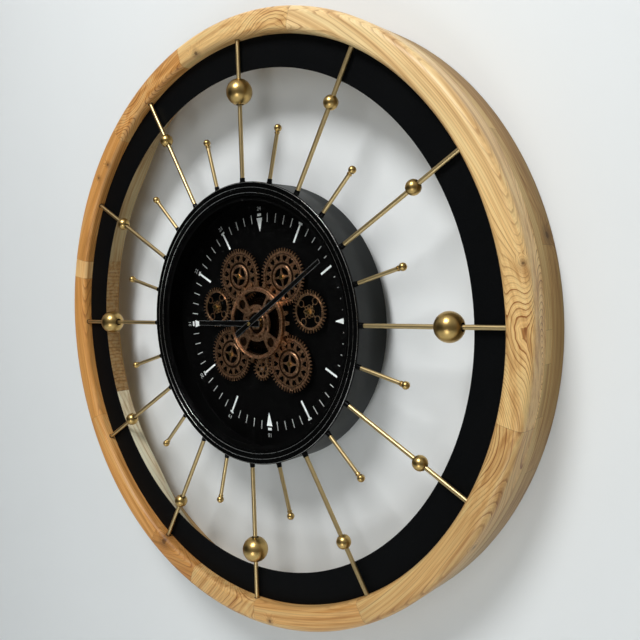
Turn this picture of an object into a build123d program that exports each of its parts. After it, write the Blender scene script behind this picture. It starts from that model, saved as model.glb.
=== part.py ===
from build123d import *
import os
from math import cos, degrees, pi, radians, sin

os.makedirs("parts", exist_ok=True)

# Wall clock. The dial axis is the Y axis, the wall is the plane Y = 0 and the front faces -Y.
# A level is a distance from the wall towards the viewer, and clock angles run clockwise from twelve.

# Wooden ring: three glued layers and the black-faced panel inside it
ring_outer_radius = 350.0
ring_width = 27.0
back_layer_depth = 28.0
middle_layer_depth = 14.0
front_layer_depth = 28.0
outer_roundover = 8.0
outer_roundover_bands = 2
inner_roundover = 3.0
inner_roundover_bands = 1
back_relief = 13.0
panel_width = 35.0
panel_thickness = 21.5
panel_setback = 4.5
glue_gap = 0.1
front_joints = (14.5, 64.0, 105.0, 152.0, 199.0, 212.8, 246.0, 281.0, 285.3, 318.0, 344.0)
middle_joints = (26.0, 59.0, 90.5, 95.5, 103.5, 141.0, 184.0, 228.0, 271.0, 312.0, 347.0)

# Rods and balls
rod_setback = 9.0
hours = 12
long_rod_diameter = 5.0
short_rod_diameter = 4.5
rod_seat_depth = 8.0
rod_fit_gap = 0.1
quarter_ball_diameter = 30.0
hour_ball_diameter = 16.0
ball_panel_clearance = 8.0
tip_ball_diameter = 8.5
tip_reach_share = 0.59
tip_seat_depth = 4.0
ferrule_length = 5.0
ferrule_across_flats = 6.4
rod_sides = 8
ball_sides = 10
ball_bands = 4
tip_bands = 3
ball_cap_latitude = 66.0
tip_seat_latitude = 40.0

# Drum, bezel, glass and dial
drum_radius = 162.6
drum_wall = 1.5
drum_wall_gap = 12.5
bezel_height = 4.5
bezel_land_width = 6.6
bezel_step = 1.1
bezel_lip_thickness = 1.5
bezel_lip_width = 15.6
glass_thickness = 2.5
glass_edge_gap = 6.0
dial_level = 31.6
dial_thickness = 2.0
dial_rim_gap = 2.5
dial_rim_wall = 1.5
bracket_count = 4
dial_bracket_angle = 45.0
cover_bracket_angle = 0.0
bracket_width = 14.0
bracket_foot = 21.0
bracket_leg = 12.0
bracket_sheet = 1.2
bracket_gap = 0.2
cover_sheet = 1.2
cover_gap = 0.3
window_half_width = 42.0
window_top = 36.0
window_bottom = -112.0

# Gear train between the dial and the hands
gear_module = 1.28
mesh_slack = 0.5
tooth_addendum = 1.5
tooth_dedendum = 2.3
tooth_root_width = 1.9
tooth_tip_width = 1.1
sun_teeth = 50
large_teeth = 50
medium_teeth = 36
pinion_teeth = 20
gear_thickness = 2.4
gear_lift = 4.5
gear_end_play = 0.1
large_gear_angles = {"upper_left": 329.4, "upper_right": 35.0, "lower_right": 136.5, "lower_left": 232.8}
left_medium_direction = 228.6
right_medium_direction = 135.4
pinion_direction = 259.7
boss_radius = 14.5
boss_groove_width = 2.0
boss_height = 1.5
boss_sides = 18
spoke_width = 1.6
spoke_hub_radius = 3.6
boss_rim_width = 3.4
rosette_count = 14
rosette_inner_radius = 18.4
rosette_outer_radius = 24.6
rosette_width = 4.6
medium_rim_width = 4.2
medium_hub_radius = 8.0
medium_spoke_width = 5.4
medium_hole_radius = 2.1
shaft_sides = 12
window_sides = 24
hole_sides = 16
pin_hole_sides = 6
post_across_flats = 7.0
journal_radius = 1.5
running_gap = 0.05
cap_across_flats = 5.0
cap_height = 1.8

# Central wheel: toothed disc behind an open front wheel
disc_teeth = 24
disc_outer_radius = 49.0
disc_root_radius = 43.0
disc_tooth_root_width = 5.4
disc_tooth_tip_width = 3.6
disc_inner_radius = 36.5
disc_lift = 2.5
disc_thickness = 2.0
front_wheel_lift = 1.0
front_wheel_thickness = 2.4
front_wheel_radius = 42.0
front_wheel_sides = 48
front_rim_width = 1.6
front_rim_height = 0.8
front_window_outer = 37.4
front_window_inner = 22.6
front_window_span = 48.0
window_chords = 4
front_hole_radius = 7.2
front_hole_circle = 30.6
front_bore_radius = 12.5
front_pin_count = 8
front_pin_circle = 16.6
front_pin_radius = 1.75
hub_radius = 7.0
hub_web_radius = 19.5
pillar_across_flats = 3.2
spider_width = 8.0

# Quartz movement and hands
case_width = 56.0
case_depth = 15.8
case_corner = 4.0
bushing_radius = 5.0
pipe_radius = 2.55
arbor_radius = 1.5
arbor_seat = 9.0
dial_nut_across_flats = 14.0
dial_nut_height = 2.6
clip_width = 2.0
clip_thickness = 0.8
hand_thickness = 1.2
hand_bevel = 0.4
hand_gap = 1.2
hand_press_gap = 0.02
minute_hand_length = 128.0
minute_hand_tail = 26.6
minute_hand_widths = (6.4, 5.0)
minute_hand_angle = 57.7
hour_hand_length = 89.6
hour_hand_tail = 14.0
hour_hand_widths = (7.2, 5.6)
hour_hand_angle = 270.0
hand_nut_across_flats = 4.6
hand_nut_height = 1.8
nut_to_glass = 0.8
knob_radius = 5.5
knob_thickness = 2.8
knob_offset = (15.0, 15.0)
knob_sides = 16
knob_stem_radius = 1.5
knob_stem_length = 4.0
cell_radius = 7.1
cell_sides = 20
cell_length = 50.4
cell_gap = 0.4
cell_bay_offset = -18.5

# Gear motor, its battery tray and switch
motor_width = 36.0
motor_height = 26.0
motor_depth = 14.0
motor_shaft_radius = 1.0
motor_shaft_seat = 8.0
tray_gap = 4.0
tray_wall = 1.6
tray_depth = 15.8
switch_length = 14.0
switch_height = 7.0
switch_depth = 6.0
switch_slot_depth = 2.4
slider_length = 4.6
slider_width = 3.0
slider_height = 4.0
slider_travel = 4.0
slider_gap = 0.2

# Keyhole hanger let into the back of the ring at twelve o'clock
hanger_width = 56.0
hanger_height = 20.0
hanger_sheet = 1.6
hanger_gap = 0.2
hanger_pad_margin = 6.0
keyhole_radius = 5.0
keyhole_slot_radius = 2.4
keyhole_slot_length = 6.0
hanger_pocket_depth = 9.0
hanger_pocket_margin = 3.0

# Radii and levels worked out from the sizes above
ring_inner_radius = ring_outer_radius - ring_width
panel_inner_radius = ring_inner_radius - panel_width
ball_circle_radius = panel_inner_radius - ball_panel_clearance - quarter_ball_diameter / 2
tip_circle_radius = drum_radius + tip_reach_share * (ball_circle_radius - drum_radius)
drum_inner_radius = drum_radius - drum_wall
bezel_lip_radius = drum_radius - bezel_lip_width
dial_rim_radius = bezel_lip_radius + dial_rim_gap
ring_depth = back_layer_depth + middle_layer_depth + front_layer_depth
middle_level = back_layer_depth
front_level = back_layer_depth + middle_layer_depth
rod_level = ring_depth - rod_setback
panel_front = rod_level - panel_setback
panel_back = panel_front - panel_thickness
bezel_front = rod_level + bezel_height
glass_front = bezel_front - bezel_step - bezel_lip_thickness
glass_back = glass_front - glass_thickness
dial_back = dial_level - dial_thickness
gear_level = dial_level + gear_lift
gear_front = gear_level + gear_thickness
disc_level = gear_front + disc_lift
front_wheel_level = disc_level + disc_thickness + front_wheel_lift
front_wheel_front = front_wheel_level + front_wheel_thickness
minute_level = glass_back - nut_to_glass - hand_nut_height - hand_thickness
hour_level = minute_level - hand_gap - hand_thickness
case_back = dial_back - case_depth
nut_front = dial_level + dial_nut_height
cover_front = drum_wall_gap + cover_sheet


def section(corners):
    """Closed outline of (radius, level) corners, standing at twelve o'clock."""
    return Face(Wire.make_polygon([(0, -level, radius) for radius, level in corners]))


def lathe(corners, start=0.0, end=360.0):
    """The outline turned round the dial axis from one clock angle to another."""
    return Rot(0, start, 0) * revolve(section(corners), axis=Axis.Y, revolution_arc=end - start)


def blocks(corners, joints):
    """A glued ring of curved blocks that meet at the given clock angles."""
    ends = list(joints[1:]) + [joints[0] + 360.0]
    return [lathe(corners, start, end) for start, end in zip(joints, ends)]


def facing(level, x=0.0, z=0.0):
    """Plane parallel to the dial that looks at the viewer, with its Y direction upwards."""
    return Plane(origin=(x, -level, z), x_dir=(1, 0, 0), z_dir=(0, -1, 0))


def plate(outline, level, thickness, place=(0.0, 0.0)):
    """A flat outline given thickness towards the viewer."""
    return extrude(facing(level, *place) * outline, thickness, dir=(0, -1, 0))


def tube(outer, inner, level, length, place=(0.0, 0.0)):
    return plate(shaft(outer) - bore(inner), level, length, place)


def shaft(radius):
    """Section of a small shaft, with flats that stay inside its circle."""
    return RegularPolygon(radius, shaft_sides)


def bore(radius):
    """Section of a small hole, with flats that stay outside its circle."""
    return RegularPolygon(radius, shaft_sides, major_radius=False)


def hexagon(across_flats):
    return RegularPolygon(across_flats / 2, 6, major_radius=False)


def on_clock(shape, angles):
    """Copies of a piece made at twelve o'clock, turned to each clock angle."""
    return [Rot(0, angle, 0) * shape for angle in angles]


def clock_point(radius, angle):
    return radius * sin(radians(angle)), radius * cos(radians(angle))


def polygon(corners):
    return Face(Wire.make_polygon([(x, y, 0) for x, y in corners]))


def write(name, *shapes):
    solids = [solid for shape in shapes for solid in shape.solids()]
    export_step(solids[0] if len(solids) == 1 else Compound(children=solids), f"parts/{name}.step")


# Wooden ring


def roundover(corner_radius, size, bands, side):
    """Chords of a quarter circle from the front face down to the wall on one side (+1 out, -1 in)."""
    turns = [radians(90 * step / bands) for step in range(bands + 1)]
    return [
        (corner_radius - side * size * (1 - sin(turn)), ring_depth - size * (1 - cos(turn)))
        for turn in turns
    ]


def ring_front_layer():
    inner = roundover(ring_inner_radius, inner_roundover, inner_roundover_bands, -1)
    outer = roundover(ring_outer_radius, outer_roundover, outer_roundover_bands, 1)
    low_corners = [(ring_outer_radius, front_level), (ring_inner_radius, front_level)]
    seats = on_clock(rod(long_rod_diameter + 2 * rod_fit_gap, *long_rod_span()), hour_angles())
    layer = []
    for block in blocks(list(reversed(inner)) + outer + low_corners, front_joints):
        for seat in seats:
            if block.bounding_box().overlaps(seat.bounding_box()):
                block = block - seat
        layer.append(block)
    return layer


def ring_middle_layer():
    corners = [
        (ring_inner_radius, middle_level),
        (ring_inner_radius, front_level),
        (ring_outer_radius, front_level),
        (ring_outer_radius, middle_level),
    ]
    return blocks(corners, middle_joints)


def ring_back_layer():
    """Narrow back ring that hides behind the panel, with its full width only where the hanger is let in."""
    relieved_radius = ring_inner_radius + back_relief
    pad_outer_radius = (relieved_radius + ring_outer_radius) / 2
    half_pad = degrees((hanger_width / 2 + hanger_pad_margin) / ring_inner_radius)
    ring = lathe([
        (relieved_radius, 0),
        (relieved_radius, middle_level),
        (ring_outer_radius, middle_level),
        (ring_outer_radius, 0),
    ])
    ring += lathe([
        (ring_inner_radius, 0),
        (ring_inner_radius, middle_level),
        (pad_outer_radius, middle_level),
        (pad_outer_radius, 0),
    ], -half_pad, half_pad)
    recess = Rectangle(hanger_width + 2 * hanger_gap, hanger_height + 2 * hanger_gap)
    pocket_size = 2 * (keyhole_radius + hanger_pocket_margin)
    pocket = Rectangle(pocket_size, hanger_height - hanger_pocket_margin)
    ring -= plate(recess, 0, hanger_sheet, hanger_place())
    return ring - plate(pocket, 0, hanger_sheet + hanger_pocket_depth, hanger_place())


def ring_panel():
    outer = ring_inner_radius - glue_gap
    return lathe([
        (panel_inner_radius, panel_back),
        (panel_inner_radius, panel_front),
        (outer, panel_front),
        (outer, panel_back),
    ])


def hanger_place():
    return 0.0, (ring_outer_radius + ring_inner_radius) / 2


def hanger_plate():
    """Flush steel plate: the nail's head enters the round hole and the shank rides up the slot."""
    sheet = Rectangle(hanger_width, hanger_height)
    hole_centre = -keyhole_slot_length / 2
    hole = Pos(0, hole_centre) * Circle(keyhole_radius)
    slot_top = hole_centre + keyhole_radius + keyhole_slot_length
    slot = Pos(0, (hole_centre + slot_top) / 2) * Rectangle(2 * keyhole_slot_radius, slot_top - hole_centre)
    slot_end = Pos(0, slot_top) * Circle(keyhole_slot_radius)
    return plate(sheet - hole - slot - slot_end, 0, hanger_sheet, hanger_place())


# Rods and balls


def hour_angles():
    return [360.0 / hours * hour for hour in range(hours)]


def half_hour_angles():
    return [angle + 180.0 / hours for angle in hour_angles()]


def rod(diameter, start, end):
    """Bar along the twelve o'clock radius between two radii."""
    profile = Plane(origin=(0, -rod_level, start), z_dir=(0, 0, 1)) * RegularPolygon(diameter / 2, rod_sides)
    return extrude(profile, end - start)


def long_rod_span():
    return drum_radius + ferrule_length, ring_inner_radius + rod_seat_depth


def ball(diameter, centre, latitudes, sides):
    """Faceted ball on the twelve o'clock radius, cut flat at its first and last latitude."""
    turns = [2 * pi * (side / sides - 0.25) for side in range(sides)]
    rings = []
    for latitude in latitudes:
        height = centre + diameter / 2 * sin(radians(latitude))
        reach = diameter / 2 * cos(radians(latitude))
        rings.append([(reach * cos(turn), reach * sin(turn) - rod_level, height) for turn in turns])
    flats = [rings[0], rings[-1]]
    for low, high in zip(rings, rings[1:]):
        flats += [[low[side - 1], low[side], high[side], high[side - 1]] for side in range(sides)]
    return Solid(Shell([Face(Wire.make_polygon(flat)) for flat in flats]))


def latitudes(low, high, bands):
    return [low + (high - low) * band / bands for band in range(bands + 1)]


def bored_ball(diameter):
    rings = latitudes(-ball_cap_latitude, ball_cap_latitude, ball_bands)
    hole_span = (ball_circle_radius - diameter, ball_circle_radius + diameter)
    hole = rod(long_rod_diameter + 2 * rod_fit_gap, *hole_span)
    return ball(diameter, ball_circle_radius, rings, ball_sides) - hole


def tip_ball():
    rings = latitudes(-tip_seat_latitude, ball_cap_latitude, tip_bands)
    hole = rod(short_rod_diameter + 2 * rod_fit_gap, tip_circle_radius - tip_ball_diameter, tip_seat_radius())
    return ball(tip_ball_diameter, tip_circle_radius, rings, rod_sides) - hole


def tip_seat_radius():
    seat_face = tip_circle_radius - tip_ball_diameter / 2 * sin(radians(tip_seat_latitude))
    return seat_face + tip_seat_depth


def ferrule():
    base = Plane(origin=(0, -rod_level, drum_radius), z_dir=(0, 0, 1))
    return extrude(base * hexagon(ferrule_across_flats), ferrule_length)


# Drum, bezel, glass and dial


def drum_shell():
    return lathe([
        (drum_inner_radius, drum_wall_gap),
        (drum_inner_radius, glass_front),
        (drum_radius, glass_front),
        (drum_radius, drum_wall_gap),
    ])


def bezel():
    land_radius = drum_radius - bezel_land_width
    lip_front = bezel_front - bezel_step
    return lathe([
        (drum_radius, glass_front),
        (drum_radius, bezel_front),
        (land_radius, bezel_front),
        (land_radius - bezel_step, lip_front),
        (bezel_lip_radius, lip_front),
        (bezel_lip_radius, glass_front),
    ])


def glass_lens():
    return plate(Circle(drum_inner_radius - glass_edge_gap), glass_back, glass_thickness)


def dial_pan():
    """Black pressed pan: flat dial with a rim that reaches up to the glass."""
    hole = bushing_radius + running_gap
    rim_outer = dial_rim_radius + dial_rim_wall
    pan = lathe([
        (hole, dial_back),
        (hole, dial_level),
        (dial_rim_radius, dial_level),
        (dial_rim_radius, glass_back),
        (rim_outer, glass_back),
        (rim_outer, dial_back),
    ])
    shaft_hole = bore(motor_shaft_radius + 2 * running_gap)
    return pan - plate(shaft_hole, dial_back, dial_thickness, gear_places()["drive_pinion"])


def angle_bracket(face_level, side):
    """Sheet angle on the drum wall whose foot lies on a plate face (side +1 behind it, -1 in front)."""
    outer = drum_inner_radius - bracket_gap
    foot_level = face_level - side * bracket_sheet / 2
    leg_level = face_level - side * bracket_leg / 2
    foot = Pos(0, -foot_level, outer - bracket_foot / 2) * Box(bracket_width, bracket_sheet, bracket_foot)
    leg = Pos(0, -leg_level, outer - bracket_sheet / 2) * Box(bracket_width, bracket_leg, bracket_sheet)
    return foot + leg


def bracket_angles(first):
    return [first + 360.0 / bracket_count * index for index in range(bracket_count)]


def back_cover():
    window_height = window_top - window_bottom
    window = Pos(0, (window_top + window_bottom) / 2) * Rectangle(2 * window_half_width, window_height)
    return plate(Circle(drum_inner_radius - cover_gap) - window, drum_wall_gap, cover_sheet)


# Gear train


def pitch_radius(teeth):
    return gear_module * teeth / 2


def mesh_distance(teeth, mate_teeth):
    return pitch_radius(teeth) + pitch_radius(mate_teeth) + mesh_slack


def toothed_outline(teeth, root_radius, tip_radius, root_width, tip_width, phase):
    """Straight-sided teeth, the first centred on the clock angle given as phase."""
    corners = []
    for tooth in range(teeth):
        angle = phase + 360.0 * tooth / teeth
        half_root = degrees(root_width / 2 / root_radius)
        half_tip = degrees(tip_width / 2 / tip_radius)
        corners += [
            clock_point(root_radius, angle - half_root),
            clock_point(tip_radius, angle - half_tip),
            clock_point(tip_radius, angle + half_tip),
            clock_point(root_radius, angle + half_root),
        ]
    return polygon(corners)


def gear_outline(teeth, phase):
    root = pitch_radius(teeth) - tooth_dedendum
    tip = pitch_radius(teeth) + tooth_addendum
    return toothed_outline(teeth, root, tip, tooth_root_width, tooth_tip_width, phase)


def meshed_phase(driver_teeth, driver_phase, direction, teeth):
    """Phase that puts a gap of the mating gear over the driver's tooth nearest the line of centres."""
    driver_pitch = 360.0 / driver_teeth
    offset = (driver_phase - direction + driver_pitch / 2) % driver_pitch - driver_pitch / 2
    gap_angle = direction + 180.0 - offset * driver_teeth / teeth
    return gap_angle + 180.0 / teeth


def gear_places():
    """Centre of each gear in the dial's plane, by node name."""
    places = {"sun_gear": (0.0, 0.0)}
    for corner, angle in large_gear_angles.items():
        places[f"gear_{corner}"] = clock_point(mesh_distance(sun_teeth, large_teeth), angle)
    for name, mate, direction, teeth in branch_gears():
        x, z = places[mate]
        step_x, step_z = clock_point(mesh_distance(large_teeth, teeth), direction)
        places[name] = (x + step_x, z + step_z)
    return places


def branch_gears():
    """Gears that mesh with a large gear: name, mate, direction from the mate's centre, teeth."""
    return [
        ("gear_left", "gear_upper_left", left_medium_direction, medium_teeth),
        ("gear_right", "gear_upper_right", right_medium_direction, medium_teeth),
        ("drive_pinion", "gear_lower_right", pinion_direction, pinion_teeth),
    ]


def gear_phases():
    phases = {"sun_gear": 0.0}
    for corner, angle in large_gear_angles.items():
        phases[f"gear_{corner}"] = meshed_phase(sun_teeth, phases["sun_gear"], angle, large_teeth)
    for name, mate, direction, teeth in branch_gears():
        phases[name] = meshed_phase(large_teeth, phases[mate], direction, teeth)
    return phases


def large_gear(place, phase):
    """Toothed ring with a row of kite-shaped cut-outs round a raised four-spoked boss."""
    groove_outer = boss_radius + boss_groove_width
    boss_inner = boss_radius - boss_rim_width
    outline = gear_outline(large_teeth, phase) - RegularPolygon(boss_inner, boss_sides)
    middle = (rosette_inner_radius + 2 * rosette_outer_radius) / 3
    kite = polygon([
        (0, rosette_inner_radius),
        (rosette_width / 2, middle),
        (0, rosette_outer_radius),
        (-rosette_width / 2, middle),
    ])
    for index in range(rosette_count):
        outline -= Rot(0, 0, 360.0 * index / rosette_count - phase) * kite
    wheel = plate(outline, gear_level, gear_thickness, place)
    groove = RegularPolygon(groove_outer, boss_sides) - RegularPolygon(boss_radius, boss_sides)
    wheel -= plate(groove, gear_front - boss_height / 2, boss_height, place)
    rim = RegularPolygon(boss_radius, boss_sides) - RegularPolygon(boss_inner, boss_sides)
    spokes = Rectangle(2 * boss_inner + boss_rim_width, spoke_width)
    spokes += Rectangle(spoke_width, 2 * boss_inner + boss_rim_width)
    star = Rot(0, 0, 45 - phase) * (spokes + shaft(spoke_hub_radius)) - bore(journal_radius + running_gap)
    wheel += plate(rim, gear_front, boss_height, place)
    return wheel + plate(star, gear_level, gear_thickness + boss_height / 2, place)


def medium_gear(place, phase):
    """Toothed ring on four drilled spokes round a broad hub."""
    window_outer = pitch_radius(medium_teeth) - tooth_dedendum - medium_rim_width
    window = RegularPolygon(window_outer, window_sides) - RegularPolygon(medium_hub_radius, window_sides)
    arms = Rectangle(2 * window_outer, medium_spoke_width) + Rectangle(medium_spoke_width, 2 * window_outer)
    hole_circle = (window_outer + medium_hub_radius) / 2
    outline = gear_outline(medium_teeth, phase) - Rot(0, 0, 45 - phase) * (window - arms)
    for index in range(4):
        turn = Rot(0, 0, 45 - phase + 90 * index)
        outline -= turn * Pos(0, hole_circle) * bore(medium_hole_radius)
    return plate(outline - bore(journal_radius + running_gap), gear_level, gear_thickness, place)


def drive_pinion(place, phase):
    outline = gear_outline(pinion_teeth, phase) - bore(motor_shaft_radius + hand_press_gap)
    return plate(outline, gear_level, gear_thickness, place)


def gear_post(place):
    """Hexagonal pillar on the dial with a round journal for the gear."""
    journal_length = gear_thickness + boss_height / 2 + 2 * gear_end_play
    pillar = plate(hexagon(post_across_flats), dial_level, gear_lift - gear_end_play, place)
    return pillar + plate(shaft(journal_radius), gear_level - gear_end_play, journal_length, place)


def post_cap(place):
    level = gear_level + gear_thickness + boss_height / 2 + gear_end_play
    return plate(hexagon(cap_across_flats), level, cap_height, place)


def posted_gears():
    """Gears that turn on posts, as name to teeth."""
    gears = {f"gear_{corner}": large_teeth for corner in large_gear_angles}
    gears.update({"gear_left": medium_teeth, "gear_right": medium_teeth})
    return gears


# Central wheel


def sun_gear():
    outline = gear_outline(sun_teeth, gear_phases()["sun_gear"]) - bore(hub_radius + hand_press_gap)
    return plate(outline, gear_level, gear_thickness)


def central_toothed_disc():
    outline = toothed_outline(
        disc_teeth, disc_root_radius, disc_outer_radius, disc_tooth_root_width, disc_tooth_tip_width, 0.0
    )
    window = RegularPolygon(disc_inner_radius, window_sides) - RegularPolygon(hub_web_radius, window_sides)
    arms = Rectangle(2 * disc_inner_radius, spider_width) + Rectangle(spider_width, 2 * disc_inner_radius)
    outline -= Rot(0, 0, 45) * (window - arms)
    return plate(outline - bore(hub_radius + hand_press_gap), disc_level, disc_thickness)


def sector_window(inner, outer, span):
    """Window between two radii, centred on twelve o'clock, its arcs drawn as chords."""
    turns = [span * (step / window_chords - 0.5) for step in range(window_chords + 1)]
    far_side = [clock_point(outer, turn) for turn in turns]
    near_side = [clock_point(inner, turn) for turn in reversed(turns)]
    return polygon(far_side + near_side)


def central_front_wheel():
    """Open wheel with four sector windows, four round holes and a ring of small pin holes."""
    outline = RegularPolygon(front_wheel_radius, front_wheel_sides)
    outline -= RegularPolygon(front_bore_radius, window_sides)
    window = sector_window(front_window_inner, front_window_outer, front_window_span)
    hole = RegularPolygon(front_hole_radius, hole_sides)
    for index in range(4):
        outline -= Rot(0, 0, 90 * index) * window
        outline -= Rot(0, 0, 45 + 90 * index) * Pos(0, front_hole_circle) * hole
    for index in range(front_pin_count):
        turn = Rot(0, 0, 360.0 * (index + 0.5) / front_pin_count)
        outline -= turn * Pos(0, front_pin_circle) * RegularPolygon(front_pin_radius, pin_hole_sides)
    rim = RegularPolygon(front_wheel_radius, front_wheel_sides)
    rim -= RegularPolygon(front_wheel_radius - front_rim_width, front_wheel_sides)
    wheel = plate(outline, front_wheel_level, front_wheel_thickness)
    return wheel + plate(rim, front_wheel_front, front_rim_height)


def pillar_angles():
    return [45.0 + 90.0 * index for index in range(4)]


def central_pillars():
    """Four short pillars that hold the front wheel off the toothed disc."""
    middle = (front_bore_radius + hub_web_radius + front_pin_radius) / 2
    level = disc_level + disc_thickness
    pillar = plate(hexagon(pillar_across_flats), level, front_wheel_lift, (0.0, middle))
    return on_clock(pillar, pillar_angles())


def central_hub():
    start = nut_front + gear_end_play
    return tube(hub_radius, bushing_radius + running_gap, start, front_wheel_front - start)


def hub_clip():
    level = front_wheel_front + gear_end_play
    ring = hexagon(2 * (bushing_radius + clip_width)) - bore(bushing_radius + hand_press_gap)
    return plate(ring, level, clip_thickness)


# Movement and hands


def bushing_end():
    return front_wheel_front + gear_end_play + clip_thickness + gear_end_play


def housing(width, height):
    """Moulded housing's outline, with its corners cut."""
    outline = Rectangle(width, height)
    return chamfer(outline.vertices(), case_corner)


def movement_case():
    body = plate(housing(case_width, case_width), case_back, case_depth)
    body -= plate(bore(pipe_radius + running_gap), dial_back - arbor_seat, arbor_seat)
    bay = Rectangle(cell_length + 2 * cell_gap, 2 * (cell_radius + cell_gap))
    body -= plate(bay, case_back, 2 * (cell_radius + cell_gap), (0.0, cell_bay_offset))
    stem_hole = bore(knob_stem_radius + running_gap)
    return body - plate(stem_hole, case_back, knob_stem_length, knob_offset)


def movement_bushing():
    return tube(bushing_radius, pipe_radius + running_gap, dial_back, bushing_end() - dial_back)


def dial_nut():
    ring = hexagon(dial_nut_across_flats) - bore(bushing_radius + hand_press_gap)
    return plate(ring, dial_level, dial_nut_height)


def hour_pipe():
    start = dial_back - arbor_seat + gear_end_play
    return tube(pipe_radius, arbor_radius + running_gap, start, hour_level + hand_thickness - start)


def minute_arbor():
    start = dial_back - arbor_seat + gear_end_play
    return plate(shaft(arbor_radius), start, minute_level + hand_thickness - start)


def hand(length, tail, widths, level, hole_radius, angle):
    """Tapered baton with bevelled front edges, at its clock angle."""
    root, tip = widths
    baton = polygon([(-root / 2, -tail), (-tip / 2, length), (tip / 2, length), (root / 2, -tail)])
    blade = plate(baton, level, hand_thickness)
    front_edges = blade.faces().sort_by(Axis.Y)[0].edges()
    blade = chamfer(front_edges, hand_bevel)
    blade -= plate(bore(hole_radius + hand_press_gap), level, hand_thickness)
    return Rot(0, angle, 0) * blade


def hand_nut():
    return plate(hexagon(hand_nut_across_flats), minute_level + hand_thickness, hand_nut_height)


def setting_knob():
    grip = plate(RegularPolygon(knob_radius, knob_sides), case_back - gear_end_play - knob_thickness,
                 knob_thickness, knob_offset)
    stem_start = case_back - gear_end_play
    return grip + plate(shaft(knob_stem_radius), stem_start, knob_stem_length, knob_offset)


def cell(place):
    """Round cell lying across the clock."""
    x, z = place
    middle = case_back + cell_gap + cell_radius
    base = Plane(origin=(x - cell_length / 2, -middle, z), z_dir=(1, 0, 0))
    return extrude(base * RegularPolygon(cell_radius, cell_sides), cell_length)


# Gear motor and its tray


def gear_motor():
    place = gear_places()["drive_pinion"]
    body = plate(housing(motor_width, motor_height), dial_back - motor_depth, motor_depth, place)
    seat_level = dial_back - motor_shaft_seat
    return body - plate(bore(motor_shaft_radius + running_gap), seat_level, motor_shaft_seat, place)


def pinion_shaft():
    start = dial_back - motor_shaft_seat + gear_end_play
    length = gear_front + gear_end_play - start
    return plate(shaft(motor_shaft_radius), start, length, gear_places()["drive_pinion"])


def tray_bay_height():
    return 4 * (cell_radius + cell_gap)


def tray_place():
    x, z = gear_places()["drive_pinion"]
    return 0.0, z - motor_height / 2 - tray_gap - tray_wall - tray_bay_height() / 2


def battery_tray():
    """Open-backed tray for two cells, with the switch housing on its right-hand wall."""
    length = cell_length + 2 * cell_gap
    outer = Rectangle(length + 2 * tray_wall, tray_bay_height() + 2 * tray_wall)
    tray = plate(outer, dial_back - tray_depth, tray_depth, tray_place())
    tray -= plate(Rectangle(length, tray_bay_height()), case_back, 2 * (cell_radius + cell_gap), tray_place())
    x, z = switch_place()
    tray += plate(Rectangle(switch_height, switch_length), dial_back - tray_depth, switch_depth, (x, z))
    slot = Rectangle(slider_width + 2 * slider_gap, slider_length + slider_travel + 2 * slider_gap)
    return tray - plate(slot, dial_back - tray_depth, switch_slot_depth, (x, z))


def switch_place():
    x, z = tray_place()
    return x + cell_length / 2 + cell_gap + tray_wall + switch_height / 2, z


def tray_cells():
    x, z = tray_place()
    offset = cell_radius + cell_gap
    return [cell((x, z + offset)), cell((x, z - offset))]


def switch_slider():
    x, z = switch_place()
    level = dial_back - tray_depth + switch_slot_depth - slider_gap - slider_height
    return plate(Rectangle(slider_width, slider_length), level, slider_height, (x, z - slider_travel / 2))


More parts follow.
